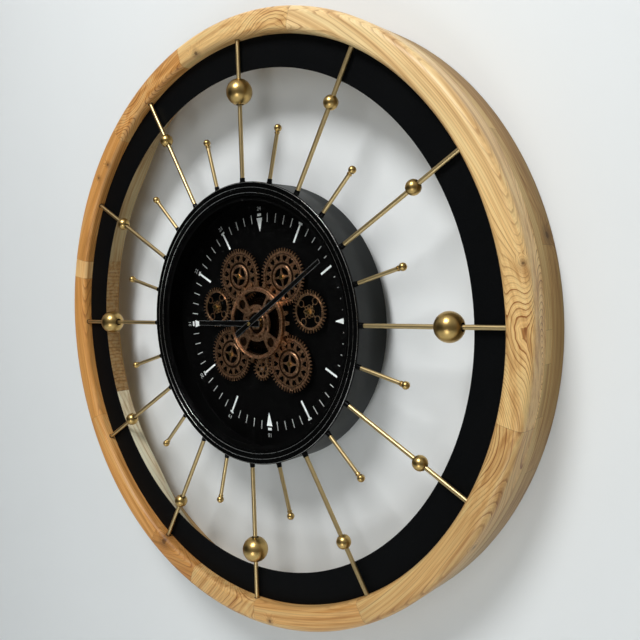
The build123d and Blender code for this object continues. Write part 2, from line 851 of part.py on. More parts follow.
def build():
    write("ring_front_layer", *ring_front_layer())
    write("ring_middle_layer", *ring_middle_layer())
    write("ring_back_layer", ring_back_layer())
    write("ring_panel", ring_panel())
    write("hanger_plate", hanger_plate())

    quarters = hour_angles()[:: hours // 4]
    others = [angle for angle in hour_angles() if angle not in quarters]
    short_span = (drum_radius + ferrule_length, tip_seat_radius())
    write("long_rods", *on_clock(rod(long_rod_diameter, *long_rod_span()), hour_angles()))
    write("short_rods", *on_clock(rod(short_rod_diameter, *short_span), half_hour_angles()))
    write("quarter_balls", *on_clock(bored_ball(quarter_ball_diameter), quarters))
    write("hour_balls", *on_clock(bored_ball(hour_ball_diameter), others))
    write("short_rod_tips", *on_clock(tip_ball(), half_hour_angles()))
    write("rod_ferrules", *on_clock(ferrule(), hour_angles() + half_hour_angles()))

    write("drum_shell", drum_shell())
    write("bezel", bezel())
    write("glass_lens", glass_lens())
    write("dial_pan", dial_pan())
    write("dial_brackets", *on_clock(angle_bracket(dial_back, 1), bracket_angles(dial_bracket_angle)))
    write("back_cover", back_cover())
    write("cover_brackets", *on_clock(angle_bracket(cover_front, -1), bracket_angles(cover_bracket_angle)))

    places, phases = gear_places(), gear_phases()
    for corner in large_gear_angles:
        name = f"gear_{corner}"
        write(name, large_gear(places[name], phases[name]))
    for name in ("gear_left", "gear_right"):
        write(name, medium_gear(places[name], phases[name]))
    write("drive_pinion", drive_pinion(places["drive_pinion"], phases["drive_pinion"]))
    write("gear_posts", *[gear_post(places[name]) for name in posted_gears()])
    write("gear_post_caps", *[post_cap(places[name]) for name in posted_gears()])

    write("sun_gear", sun_gear())
    write("central_toothed_disc", central_toothed_disc())
    write("central_front_wheel", central_front_wheel())
    write("central_pillars", *central_pillars())
    write("central_hub", central_hub())
    write("hub_clip", hub_clip())

    write("movement_case", movement_case())
    write("movement_bushing", movement_bushing())
    write("dial_nut", dial_nut())
    write("hour_pipe", hour_pipe())
    write("hour_hand", hand(
        hour_hand_length, hour_hand_tail, hour_hand_widths, hour_level, pipe_radius, hour_hand_angle))
    write("minute_arbor", minute_arbor())
    write("minute_hand", hand(
        minute_hand_length, minute_hand_tail, minute_hand_widths, minute_level, arbor_radius,
        minute_hand_angle))
    write("hand_nut", hand_nut())
    write("setting_knob", setting_knob())
    write("clock_cell", cell((0.0, cell_bay_offset)))

    write("gear_motor", gear_motor())
    write("pinion_shaft", pinion_shaft())
    write("battery_tray", battery_tray())
    write("tray_cells", *tray_cells())
    write("switch_slider", switch_slider())


build()
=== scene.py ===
import random
from math import asin, atan2, cos, degrees, exp, hypot, pi, radians, sin, tan
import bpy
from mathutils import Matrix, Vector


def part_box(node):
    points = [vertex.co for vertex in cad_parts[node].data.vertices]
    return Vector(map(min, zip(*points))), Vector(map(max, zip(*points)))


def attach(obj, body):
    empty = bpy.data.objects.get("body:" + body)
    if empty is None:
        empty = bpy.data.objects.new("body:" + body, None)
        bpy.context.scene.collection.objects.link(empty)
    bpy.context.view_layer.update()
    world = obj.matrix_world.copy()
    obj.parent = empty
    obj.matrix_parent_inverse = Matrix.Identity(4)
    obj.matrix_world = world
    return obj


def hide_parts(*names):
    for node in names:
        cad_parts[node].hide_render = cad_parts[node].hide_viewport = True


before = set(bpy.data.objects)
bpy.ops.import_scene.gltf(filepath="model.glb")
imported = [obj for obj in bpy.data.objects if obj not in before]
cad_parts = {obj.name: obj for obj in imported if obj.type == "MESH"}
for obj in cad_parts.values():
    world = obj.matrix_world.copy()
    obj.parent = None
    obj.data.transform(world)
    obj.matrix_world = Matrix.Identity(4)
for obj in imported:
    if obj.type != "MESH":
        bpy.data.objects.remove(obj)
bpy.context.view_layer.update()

from types import SimpleNamespace

import bmesh
import bpy
from bpy.props import FloatProperty, FloatVectorProperty, IntProperty, PointerProperty
from mathutils import Matrix, Vector

bl_info = {
    "name": "Wooden gear wall clock",
    "version": (1, 0, 0),
    "blender": (4, 5, 0),
    "location": "3D View > Sidebar > Gear clock",
    "description": "Dresses the solid gear clock with wood, metal, print and glass",
    "category": "Object",
}

MM = 0.001
# Sides of the large turned pieces and of the small ones
BIG_STEPS = 240
SMALL_STEPS = 40
# Angles in degrees from which an edge counts as crisp: on most pieces, gears and works, blocks of wood, the glass
CRISP, GEAR_CRISP, WOOD_CRISP, GLASS_CRISP = 35.0, 40.0, 50.0, 15.0
# Distances in metres under which corners are joined, in new pieces and in the solids that stay
PIECE_WELD, SOLID_WELD = 2e-6, 1e-5
# Room in millimetres between a rod and what sits round it
FIT = 0.02

# A clock place is a radius, a clock angle in degrees and a level in front of the clock's back, in millimetres.
# This turns (across, up, towards the viewer) into the clock's own axes.
DIAL_AXIS = Matrix(((1, 0, 0, 0), (0, 0, -1, 0), (0, 1, 0, 0), (0, 0, 0, 1)))

GRAIN_SEED = 41
# Degrees that one step of a curved block takes
BOARD_STEP = 1.5
# Small round in millimetres along the glued joints between the layers
ARRIS = 0.45
# Millimetres that set the grain of two boards apart, for each degree between them
APART = 1000.0
# Length in millimetres over which the crossing arcs of a board die away
ARC_SPAN = 45.0
# Share by which the grain of a lengthwise board follows the ring instead of running straight, and the turn of the
# grain in degrees from which a board counts as crosswise
BEND = 0.6
CROSSWISE = 10.0
# Share by which the wood is painted paler at twelve o'clock and darker at six: painted light from above and painted
# shade below
PAINTED_TOP_LIGHT = 0.09
# Boards of the ring: start angle, end angle, pith across, pith level, lean across, lean in depth, turn of the grain
# in degrees, lightness, redness, growth lines per millimetre, place and slope of crossing arcs, strength of the lines
FRONT_BOARDS = (
    (14.5, 105.0, -22.0, 51.0, 0.04, 0.0, 0.0, 1.05, 0.12, 0.80, 176.0, 0.27, 0.70),
    (105.0, 152.0, -30.0, 44.0, 0.04, 0.02, -3.0, 0.88, 0.28, 0.50, -105.0, 0.30, 0.60),
    (152.0, 179.5, 40.0, 40.0, -0.02, 0.03, 2.0, 0.98, 0.48, 0.45, 0.0, 0.0, 0.60),
    (179.5, 198.5, 34.0, 30.0, 0.02, 0.05, 56.0, 1.03, 0.32, 0.40, 0.0, 0.0, 1.0),
    (198.5, 212.8, 26.0, 34.0, 0.02, 0.05, 24.0, 0.84, 0.92, 0.45, 0.0, 0.0, 0.90),
    (212.8, 246.0, -38.0, 44.0, 0.05, 0.02, -4.0, 1.00, 0.80, 0.50, 0.0, 0.0, 0.60),
    (246.0, 281.0, 42.0, 44.0, 0.02, -0.02, 2.0, 0.94, 0.92, 0.50, 0.0, 0.0, 0.65),
    (281.0, 285.3, 60.0, 40.0, 0.00, 0.02, 0.0, 1.06, 0.40, 0.30, 0.0, 0.0, 0.40),
    (285.3, 318.0, -40.0, 44.0, -0.02, 0.02, -3.0, 0.90, 0.92, 0.55, 0.0, 0.0, 0.75),
    (318.0, 344.0, 14.0, 48.0, 0.04, 0.02, 2.0, 0.92, 0.66, 0.70, -20.0, 0.30, 0.80),
    (344.0, 374.5, -20.0, 46.0, 0.08, 0.03, 0.0, 0.98, 0.20, 0.55, 62.0, 0.34, 0.45),
)
# Blocks of the panel, with the growth lines of its end grain showing on the inner edge at the left
PANEL_BOARDS = (
    (33.0, 70.0, -60.0, 20.0, 0.02, 0.02, 0.0, 1.0, 0.2, 0.30, 0.0, 0.0, 0.7),
    (70.0, 106.0, 50.0, 90.0, 0.02, 0.0, 0.0, 0.9, 0.3, 0.28, 0.0, 0.0, 0.7),
    (106.0, 142.0, -70.0, 80.0, 0.03, 0.0, 0.0, 1.0, 0.2, 0.30, 0.0, 0.0, 0.7),
    (142.0, 178.0, 60.0, 100.0, 0.0, 0.02, 0.0, 1.05, 0.1, 0.28, 0.0, 0.0, 0.7),
    (178.0, 214.0, -50.0, 90.0, 0.02, 0.03, 0.0, 1.45, 0.2, 0.30, 0.0, 0.0, 0.6),
    (214.0, 250.0, 60.0, 100.0, 0.02, 0.05, 0.0, 1.60, 0.20, 0.26, 0.0, 0.0, 0.5),
    (250.0, 287.0, 105.0, 46.0, 0.0, 0.0, 90.0, 0.80, 0.75, 0.21, 0.0, 0.0, 1.0),
    (287.0, 322.0, -60.0, 90.0, 0.03, 0.02, 0.0, 0.80, 0.4, 0.30, 0.0, 0.0, 0.5),
    (322.0, 357.0, 50.0, 90.0, 0.02, 0.0, 0.0, 0.80, 0.3, 0.28, 0.0, 0.0, 0.5),
    (357.0, 393.0, -60.0, 100.0, 0.02, 0.0, 0.0, 1.0, 0.2, 0.30, 0.0, 0.0, 0.7),
)
MIDDLE_JOINTS = (26.0, 59.0, 90.5, 95.5, 103.5, 141.0, 184.0, 228.0, 271.0, 312.0, 347.0)
BACK_JOINTS = (6.03, 42.0, 78.0, 113.0, 157.0, 203.0, 248.0, 294.0, 353.97)
# Knots as clock angle, radius, level and size
KNOTS = (
    (349.0, 326.0, 70.0, 3.4),
    (310.7, 327.0, 70.0, 2.4),
    (306.3, 334.0, 70.0, 2.4),
    (209.3, 327.5, 69.0, 5.0),
    (175.3, 342.0, 70.0, 2.6),
    (80.7, 346.0, 68.0, 2.0),
    (76.5, 350.0, 13.0, 4.6),
    (126.0, 350.0, 56.0, 2.6),
)

# Clock angles of the large gears round the sun gear
LARGE_GEARS = {"upper_left": 329.4, "upper_right": 35.0, "lower_right": 136.5, "lower_left": 232.8}
# Gears that mesh with them: name, mate, clock angle seen from the mate, teeth
BRANCH_GEARS = (
    ("left", "upper_left", 228.6, 36),
    ("right", "upper_right", 135.4, 36),
    ("pinion", "lower_right", 259.7, 20),
)


def length(name, description, millimetres):
    return FloatProperty(
        name=name, description=description, default=millimetres * MM, min=0.0, unit="LENGTH", precision=4
    )


def clock_angle(name, description, angle):
    return FloatProperty(name=name, description=description, default=radians(angle), unit="ROTATION")


def power(name, description, watts):
    return FloatProperty(name=name, description=description, default=watts, min=0.0, unit="POWER")


def colour(name, description, red, green, blue):
    return FloatVectorProperty(
        name=name, description=description, default=(red, green, blue), size=3, min=0.0, max=1.0, subtype="COLOR"
    )


class ClockRingSizes(bpy.types.PropertyGroup):
    outer: length("Outer radius", "Outside of the wooden ring", 349.95)
    inner: length("Inner radius", "Inside wall of the wooden ring", 323.0)
    back_inner: length("Back inner radius", "Inside wall of the narrow back layer", 336.0)
    back_level: length("Back layer", "Level where the back layer ends", 28.0)
    middle_level: length("Middle layer", "Level where the middle layer ends", 42.0)
    depth: length("Depth", "Level of the ring's front face", 70.0)
    outer_round: length("Outer round", "Round along the front outer edge", 8.0)
    inner_round: length("Inner round", "Round along the front inner edge", 6.5)
    panel_inner: length("Panel inner radius", "Inner edge of the black panel", 288.0)
    panel_outer: length("Panel outer radius", "Outer edge of the black panel", 322.9)
    panel_back: length("Panel back", "Level of the panel's back face", 35.0)
    panel_front: length("Panel front", "Level of the panel's black face", 56.5)


class ClockRodSizes(bpy.types.PropertyGroup):
    level: length("Rod level", "Level of the rods' axes", 61.0)
    long_radius: length("Long rod radius", "Half the thickness of a long rod", 2.5)
    short_radius: length("Short rod radius", "Half the thickness of a short rod", 2.25)
    root: length("Rod start", "Radius where the rods leave their ferrules", 167.6)
    seat: length("Rod end", "Radius where the long rods end in the wood", 331.0)
    ball_circle: length("Ball circle", "Radius of the circle of balls", 265.0)
    quarter_ball: length("Quarter ball radius", "Balls at 12, 3, 6 and 9", 15.0)
    hour_ball: length("Hour ball radius", "Balls at the other hours", 8.0)
    tip_circle: length("Tip circle", "Radius of the short rods' tips", 223.0)
    tip_ball: length("Tip radius", "Drop on the end of a short rod", 4.25)


class ClockDrumSizes(bpy.types.PropertyGroup):
    radius: length("Drum radius", "Outside of the drum", 162.6)
    wall: length("Drum wall", "Thickness of the drum's sheet", 1.5)
    back: length("Drum back", "Level of the drum's back edge", 12.5)
    glass_back: length("Glass back", "Level of the glass's inner face", 60.4)
    glass_front: length("Glass front", "Level of the glass's outer face", 62.9)
    glass_radius: length("Glass radius", "Edge of the glass", 155.1)
    bezel_front: length("Bezel front", "Level of the bezel's front", 65.5)
    lip_radius: length("Lip radius", "Inner edge of the bezel", 147.0)
    dial_level: length("Dial level", "Level of the dial's face", 31.6)
    rim_radius: length("Dial rim", "Inner radius of the dial's rim", 149.5)


class ClockGearSizes(bpy.types.PropertyGroup):
    module: length("Module", "Pitch diameter over teeth", 1.28)
    slack: length("Slack", "Extra distance between meshing gears", 0.5)
    addendum: length("Addendum", "Tooth height over the pitch circle", 1.5)
    dedendum: length("Dedendum", "Tooth depth under the pitch circle", 2.3)
    root_width: length("Tooth root", "Tooth width at its root", 1.9)
    tip_width: length("Tooth tip", "Tooth width at its tip", 1.1)
    level: length("Gear level", "Level of the gears' back faces", 36.1)
    thickness: length("Gear thickness", "Thickness of the gear plates", 2.4)
    large_teeth: IntProperty(name="Large gear teeth", description="Teeth of the large gears", default=50, min=12)


class ClockHandSizes(bpy.types.PropertyGroup):
    minute_length: length("Minute hand", "From the axis to the tip", 128.0)
    minute_tail: length("Minute tail", "From the axis to the tail's end", 26.6)
    hour_length: length("Hour hand", "From the axis to the tip", 89.6)
    hour_tail: length("Hour tail", "From the axis to the tail's end", 14.0)
    minute_level: length("Minute level", "Back face of the minute hand", 56.6)
    hour_level: length("Hour level", "Back face of the hour hand", 54.2)
    thickness: length("Hand thickness", "Thickness of both hands", 1.2)
    minute_angle: clock_angle("Minute angle", "Clock angle of the minute hand at rest", 57.7)
    hour_angle: clock_angle("Hour angle", "Clock angle of the hour hand at rest", 270.0)


class ClockColours(bpy.types.PropertyGroup):
    early_wood: colour("Early wood", "Pale part of each growth line", 0.82, 0.575, 0.245)
    late_wood: colour("Late wood", "Dark part of each growth line", 0.30, 0.125, 0.032)
    knot: colour("Knot", "Heart of the knots", 0.085, 0.036, 0.014)
    bare_early: colour("Bare early wood", "Pale wood of the panel's bare edge", 0.50, 0.42, 0.235)
    bare_late: colour("Bare late wood", "Growth lines of the panel's bare edge", 0.22, 0.15, 0.065)
    # Painted shade: the dark colour put into the rods' holes in the ring and into the balls' counterbores
    drilled: colour("Hole shade", "Dark of the sockets and of the balls' wells", 0.030, 0.018, 0.009)
    panel_black: colour("Panel black", "Satin paint on the panel", 0.002, 0.0023, 0.0026)
    gold: colour("Antique gold", "Balls and drops", 0.60, 0.41, 0.15)
    # The rods' gold is paler than the balls' to paint the white reflections on the thin rods
    rod_gold: colour("Rod gold", "Paler gold of the rods", 0.64, 0.485, 0.24)
    drum_black: colour("Drum black", "Powder coat of the drum", 0.0105, 0.0130, 0.0125)
    bezel_black: colour("Bezel black", "Gloss paint of the stepped bezel", 0.0012, 0.0013, 0.0013)
    # Painted highlights: pale metal lines along the black bezel's step edges stand in for their glints
    step_line: colour("Step line", "Bright lines along the bezel's steps", 0.50, 0.51, 0.50)
    glass: colour("Glass", "Faint tint of the glass", 0.97, 0.98, 0.975)
    dial_black: colour("Dial black", "Dial paint", 0.0012, 0.0012, 0.0012)
    tick_grey: colour("Tick print", "Thin printed ticks and numbers", 0.40, 0.42, 0.41)
    print_white: colour("Print", "Printed hour marks", 0.66, 0.69, 0.68)
    copper: colour("Copper", "Large gears", 0.62, 0.345, 0.19)
    bronze: colour("Bronze", "Medium gears, pinion and toothed disc", 0.58, 0.335, 0.18)
    shaded_copper: colour("Shaded copper", "Sun gear in the shade of the front wheel", 0.024, 0.013, 0.007)
    wheel_bronze: colour("Wheel bronze", "Open front wheel", 0.60, 0.34, 0.19)
    gear_hub: colour("Gear hub", "Bright hubs of the medium gears", 0.72, 0.44, 0.22)
    brass: colour("Brass", "Hub, posts and caps", 0.56, 0.40, 0.15)
    hand_black: colour("Hand black", "Faces of the hands", 0.0012, 0.0012, 0.0012)
    # Painted highlight: the grey line along the hands' edges stands in for the glint on their bevels
    hand_edge: colour("Hand edge", "Thin line along the hands' edges", 0.10, 0.102, 0.10)
    steel: colour("Steel", "Plain sheet steel", 0.42, 0.42, 0.41)
    case_black: colour("Case black", "Moulded cases", 0.022, 0.022, 0.024)
    knob_grey: colour("Knob grey", "Moulded knob and switch", 0.16, 0.16, 0.17)
    cell_jacket: colour("Cell jacket", "Plain jacket of the cells", 0.10, 0.13, 0.17)
    backdrop: colour("Backdrop", "Pale backdrop and floor", 0.80, 0.83, 0.835)


class ClockLights(bpy.types.PropertyGroup):
    key: power("Key lamp", "Soft lamp above the front", 33.0)
    fill: power("Fill lamp", "Wide lamp from the front", 7.5)
    low: power("Low lamp", "Weak lamp from below", 5.0)
    sky: FloatProperty(name="Sky", description="Strength of the even light all round", default=0.40, min=0.0)


def millimetres(group):
    """The lengths of a group of sizes, in millimetres by name."""
    sizes = {key: getattr(group, key) / MM for key, prop in group.bl_rna.properties.items() if prop.unit == "LENGTH"}
    return SimpleNamespace(**sizes)


# Shapes


def rounded(corners, steps=4):
    """Closed outline of (across, up, fillet) corners, with each fillet drawn as a small arc."""
    points = []
    for index, (across, up, fillet) in enumerate(corners):
        here = Vector((across, up))
        if not fillet:
            points.append((across, up))
            continue
        back = (Vector(corners[index - 1][:2]) - here).normalized()
        ahead = (Vector(corners[(index + 1) % len(corners)][:2]) - here).normalized()
        half = back.angle(ahead) / 2
        centre = here + (back + ahead).normalized() * fillet / sin(half)
        first = here + back * fillet / tan(half) - centre
        last = here + ahead * fillet / tan(half) - centre
        start = atan2(first.y, first.x)
        sweep = (atan2(last.y, last.x) - start + pi) % (2 * pi) - pi
        for step in range(steps + 1):
            turn = start + sweep * step / steps
            points.append((centre.x + fillet * cos(turn), centre.y + fillet * sin(turn)))
    return points


def clock_xy(radius, angle):
    return radius * sin(radians(angle)), radius * cos(radians(angle))


def circle(radius, sides=48, middle=(0.0, 0.0)):
    turns = [2 * pi * side / sides for side in range(sides)]
    return [(middle[0] + radius * cos(turn), middle[1] + radius * sin(turn)) for turn in turns]


def turned(loop, angle):
    """A loop of (across, up) points turned clockwise."""
    swing = radians(angle)
    return [(x * cos(swing) + y * sin(swing), y * cos(swing) - x * sin(swing)) for x, y in loop]


def toothed(teeth, root, tip, root_width, tip_width, phase):
    """Outline with straight-sided teeth, the first one centred on the clock angle given as phase."""
    loop = []
    for tooth in range(teeth):
        angle = phase + 360.0 * tooth / teeth
        half_root = degrees(root_width / 2 / root)
        half_tip = degrees(tip_width / 2 / tip)
        for radius, swing in ((root, -half_root), (tip, -half_tip), (tip, half_tip), (root, half_root)):
            loop.append(clock_xy(radius, angle + swing))
    return loop


def sector(inner, outer, start, end, steps=10):
    """Outline between two radii and two clock angles."""
    turns = [start + (end - start) * step / steps for step in range(steps + 1)]
    return [clock_xy(outer, turn) for turn in turns] + [clock_xy(inner, turn) for turn in reversed(turns)]


def rod_axis(angle, level):
    """Places a turned piece on the rod at a clock angle: heights are then radii of the clock."""
    return Matrix.Rotation(radians(angle), 4, "Y") @ Matrix.Translation((0, -level, 0))


def wheel_axis(place):
    return Matrix.Translation((place[0], 0, place[1])) @ DIAL_AXIS


class Shape:
    """Corners and faces of one piece, collected in millimetres."""

    def __init__(self):
        self.corners = []
        self.faces = []

    def spin(self, outline, axis=DIAL_AXIS, start=0.0, end=360.0, steps=BIG_STEPS, closed=True):
        """Turns an outline of (radius, height) round an axis between two clock angles."""
        full = end - start >= 360.0
        columns = []
        for step in range(steps if full else steps + 1):
            turn = radians(start + (end - start) * step / steps)
            column = []
            for row, (radius, height) in enumerate(outline):
                if radius == 0 and columns:
                    column.append(columns[0][row])
                    continue
                column.append(len(self.corners))
                self.corners.append(axis @ Vector((radius * sin(turn), radius * cos(turn), height)))
            columns.append(column)
        rows = len(outline) if closed else len(outline) - 1
        for step in range(steps):
            near, far = columns[step], columns[(step + 1) % len(columns)]
            for row in range(rows):
                after = (row + 1) % len(outline)
                face = list(dict.fromkeys((near[row], near[after], far[after], far[row])))
                if len(face) > 2:
                    self.faces.append(face)
        if closed and not full:
            self.faces += [columns[0][::-1], columns[-1]]

    def cut(self, loops, level, thickness, edge=0.2, axis=DIAL_AXIS):
        """A plate with its outline and holes given as loops, and its edges broken by a small round."""
        curve = bpy.data.curves.new("outline", "CURVE")
        curve.dimensions = "2D"
        curve.fill_mode = "BOTH"
        curve.extrude = thickness / 2 - edge
        curve.bevel_depth = edge
        curve.bevel_resolution = 1
        curve.offset = -edge
        for loop in loops:
            spline = curve.splines.new("POLY")
            spline.points.add(len(loop) - 1)
            for point, (across, up) in zip(spline.points, loop):
                point.co = (across, up, 0, 1)
            spline.use_cyclic_u = True
        self.take(curve, axis @ Matrix.Translation((0, 0, level + thickness / 2)))

    def write(self, words, height, thickness, axis):
        """Plain numbers as a thin raised print."""
        curve = bpy.data.curves.new("print", "FONT")
        curve.body = words
        curve.size = height
        curve.align_x = "CENTER"
        curve.align_y = "CENTER"
        curve.extrude = thickness / 2
        self.take(curve, axis)

    def take(self, curve, axis):
        """Adds the mesh of a curve."""
        holder = bpy.data.objects.new("outline", curve)
        mesh = bpy.data.meshes.new_from_object(holder)
        first = len(self.corners)
        self.corners += [axis @ vertex.co for vertex in mesh.vertices]
        self.faces += [[first + corner for corner in face.vertices] for face in mesh.polygons]
        bpy.data.objects.remove(holder)
        bpy.data.meshes.remove(mesh)
        bpy.data.curves.remove(curve)


def piece(name, shape, finish, body, nodes=(), sharp=CRISP, weld=True):
    """Makes an object from a shape, gives it its finish and ties it to its body."""
    mesh = bpy.data.meshes.new(name)
    mesh.from_pydata([corner * MM for corner in shape.corners], [], shape.faces)
    work = bmesh.new()
    work.from_mesh(mesh)
    if weld:
        bmesh.ops.remove_doubles(work, verts=work.verts, dist=PIECE_WELD)
    bmesh.ops.recalc_face_normals(work, faces=work.faces)
    work.to_mesh(mesh)
    work.free()
    mesh.shade_smooth()
    mesh.set_sharp_from_angle(angle=radians(sharp))
    mesh.materials.append(finish)
    made = bpy.data.objects.new(name, mesh)
    bpy.context.scene.collection.objects.link(made)
    made.modifiers.new("flat faces", "WEIGHTED_NORMAL").keep_sharp = True
    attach(made, body)
    if nodes:
        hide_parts(*nodes)
    return made


# Finishes


class Nodes:
    """Adds and joins the nodes of a material or of the world."""

    def __init__(self, tree):
        self.tree = tree

    def add(self, kind, inputs=None, **settings):
        node = self.tree.nodes.new("ShaderNode" + kind)
        for key, value in settings.items():
            setattr(node, key, value)
        for key, value in (inputs or {}).items():
            self.join(value, node.inputs[key])
        return node

    def join(self, value, socket):
        """Links a socket to another one, or sets it to a plain value."""
        if isinstance(value, bpy.types.NodeSocket):
            self.tree.links.new(value, socket)
        elif socket.type == "RGBA" and len(value) == 3:
            socket.default_value = (*value, 1.0)
        else:
            socket.default_value = value

    def math(self, operation, first, second=0.0):
        return self.add("Math", {0: first, 1: second}, operation=operation).outputs[0]

    def vector(self, operation, first, second=(0.0, 0.0, 0.0)):
        node = self.add("VectorMath", {0: first, 1: second}, operation=operation)
        return node.outputs["Value" if operation in ("LENGTH", "DISTANCE", "DOT_PRODUCT") else "Vector"]

    def remap(self, value, low, high, start=0.0, end=1.0, kind="LINEAR"):
        inputs = {"Value": value, "From Min": low, "From Max": high, "To Min": start, "To Max": end}
        return self.add("MapRange", inputs, interpolation_type=kind).outputs["Result"]

    def blend(self, amount, first, second, mode="MIX"):
        return self.add("Mix", {0: amount, 6: first, 7: second}, data_type="RGBA", blend_type=mode).outputs[2]

    def ramp(self, value, stops):
        """Colours by value, from stops of (place, red, green, blue)."""
        node = self.add("ValToRGB", {"Fac": value})
        marks = node.color_ramp.elements
        while len(marks) < len(stops):
            marks.new(0.5)
        for mark, (place, *tint) in zip(marks, stops):
            mark.position = place
            mark.color = (*tint, 1.0)
        return node.outputs["Color"]

    def surface(self, amount, first, second, output):
        """Mixes two shaders and gives the result to the output node."""
        mixed = self.add("MixShader", {0: amount, 1: first.outputs[0], 2: second.outputs[0]})
        self.join(mixed.outputs[0], self.tree.nodes[output].inputs["Surface"])


class Finish(Nodes):
    """One procedural material, built node by node round its own shader."""

    def __init__(self, name, constants):
        self.material = bpy.data.materials.new(name)
        self.material.use_nodes = True
        super().__init__(self.material.node_tree)
        self.shader = self.tree.nodes["Principled BSDF"]
        self.place = self.add("TexCoord").outputs["Object"]
        for key, value in constants.items():
            self.join(value, self.shader.inputs[key])

    def noise(self, scale, detail=3.0, vector=None, roughness=0.5):
        inputs = {"Vector": vector or self.place, "Scale": scale, "Detail": detail, "Roughness": roughness}
        return self.add("TexNoise", inputs).outputs["Fac"]

    def bump(self, height, strength, distance):
        node = self.add("Bump", {"Height": height, "Strength": strength, "Distance": distance * MM})
        self.join(node.outputs["Normal"], self.shader.inputs["Normal"])

    def paint(self, colour, roughness):
        self.join(colour, self.shader.inputs["Base Color"])
        self.join(roughness, self.shader.inputs["Roughness"])
        return self.material

    def let_through(self, amount):
        """Lets a share of the rays pass straight through."""
        self.surface(amount, self.shader, self.add("BsdfTransparent"), "Material Output")
        return self.material


# One growth line from pale to dark, as place and darkness
GROWTH_LINE = ((0.0, 0.05), (0.35, 0.0), (0.66, 0.22), (0.86, 0.9), (0.93, 1.0), (1.0, 0.05))
# Factors that turn the wood's own colour into its reddish and its paler, greyer tone
RED_TINT = (0.96, 0.64, 0.40)
PALE_TINT = (1.0, 1.16, 1.55)


def wood_finish(name, early_colour, late_colour, knot_colour, knots, constants, roughness):
    """Softwood: growth lines round a leaning pith, fibres, knots and glued joints."""
    finish = Finish(name, constants)
    grain, board = [finish.add("Attribute", attribute_name=key).outputs["Vector"] for key in ("grain", "board")]
    edge, lines = [finish.add("Attribute", attribute_name=key).outputs["Fac"] for key in ("edge", "lines")]
    light, red, density = finish.add("SeparateXYZ", {0: board}).outputs

    def figure(along, across, detail=2.0):
        """Noise drawn out along the grain, in cycles per millimetre."""
        return finish.noise(1.0, detail, finish.vector("MULTIPLY", grain, (along, across, across)))

    # Distance from the pith, with slow sways and short ripples, and pushed aside round the knots
    depth = finish.vector("LENGTH", finish.vector("MULTIPLY", grain, (0.0, 1.0, 1.0)))
    for wave, reach in ((figure(0.004, 0.013), 1.8), (figure(0.012, 0.06), 0.28)):
        depth = finish.math("ADD", depth, finish.remap(wave, 0.2, 0.8, -reach, reach))
    metric = finish.vector("MULTIPLY", finish.place, (1000.0, 1000.0, 1000.0))
    dark = 0.0
    for angle, radius, level, size in knots:
        x, z = clock_xy(radius, angle)
        away = finish.vector("DISTANCE", metric, (x, -level, z))
        push = finish.remap(away, size, size * 5.0, size * 1.8, 0.0, "SMOOTHERSTEP")
        depth = finish.math("ADD", depth, push)
        eye = finish.remap(away, size * 0.45, size * 1.25, 1.0, 0.0, "SMOOTHSTEP")
        halo = finish.remap(away, size * 0.8, size * 3.0, 0.45, 0.0, "SMOOTHSTEP")
        dark = finish.math("MAXIMUM", finish.math("MAXIMUM", eye, halo), dark)

    # Growth lines, each year's of its own strength, with finer lines between them
    phase = finish.math("MULTIPLY", depth, density)
    late = finish.ramp(finish.math("FRACT", phase), [(place, tone, tone, tone) for place, tone in GROWTH_LINE])
    year = finish.add("TexWhiteNoise", {"W": finish.math("FLOOR", phase)}, noise_dimensions="1D").outputs["Value"]
    late = finish.math("MULTIPLY", late, finish.remap(year, 0.0, 1.0, 0.35, 1.0))
    fine = finish.math("PINGPONG", finish.math("MULTIPLY", phase, 3.0), 0.5)
    late = finish.math("ADD", late, finish.math("MULTIPLY", fine, 0.36))
    fibre, pore = figure(0.014, 1.1, 3.0), figure(0.08, 4.2)
    cloud, streak = figure(0.008, 0.05), figure(0.005, 0.20, 3.0)
    late = finish.math("MULTIPLY", late, finish.remap(cloud, 0.3, 0.7, 0.65, 1.1))
    late = finish.math("MULTIPLY", late, lines)

    # Colour, paler and greyer on light boards and reddish on red ones, then its tone and the knots. Near twelve
    # o'clock the painted top light lifts the lightness, so there the paler tone is partly a painted highlight
    shade = finish.blend(late, early_colour, late_colour)
    pale = finish.vector("MULTIPLY", shade, PALE_TINT)
    shade = finish.blend(finish.remap(light, 1.05, 1.20), shade, pale)
    warm = finish.blend(1.0, shade, RED_TINT, "MULTIPLY")
    red = finish.math("ADD", red, finish.remap(streak, 0.3, 0.7, -0.30, 0.50))
    shade = finish.blend(finish.remap(red, 0.0, 1.0), shade, warm)
    # The tone starts from the lightness, which also holds the painted light from above
    tone = light
    for value, low, high, start, end in (
        (fibre, 0.25, 0.75, 0.87, 1.08),
        (cloud, 0.25, 0.75, 0.88, 1.08),
        (streak, 0.48, 0.72, 1.0, 0.66),
        (pore, 0.60, 0.78, 1.0, 0.85),
        (edge, 0.05, 0.45, 0.64, 1.0),
    ):
        tone = finish.math("MULTIPLY", tone, finish.remap(value, low, high, start, end))
    shade = finish.vector("MULTIPLY", shade, finish.add("CombineXYZ", {0: tone, 1: tone, 2: tone}).outputs[0])
    if knots:
        shade = finish.blend(finish.math("MULTIPLY", dark, 0.85), shade, knot_colour)
    finish.bump(finish.math("ADD", late, finish.math("MULTIPLY", pore, 0.8)), 0.14, 0.3)
    return finish.paint(shade, finish.remap(fibre, 0.2, 0.8, roughness - 0.06, roughness + 0.06))


def paint_finish(name, colour, rough, scale, bump, lift, specular):
    """Satin paint or coating with a fine orange peel and faint cloudiness."""
    finish = Finish(name, {"Specular IOR Level": specular})
    specks = finish.noise(scale, 3.0)
    cloud = finish.noise(26.0, 3.0)
    raised = tuple(min(1.0, channel * (1.0 + lift) + 0.002 * lift) for channel in colour)
    shade = finish.blend(finish.remap(specks, 0.45, 0.72), tuple(colour), raised)
    finish.bump(specks, bump, 0.3)
    return finish.paint(shade, finish.remap(cloud, 0.25, 0.75, rough - 0.05, rough + 0.07))


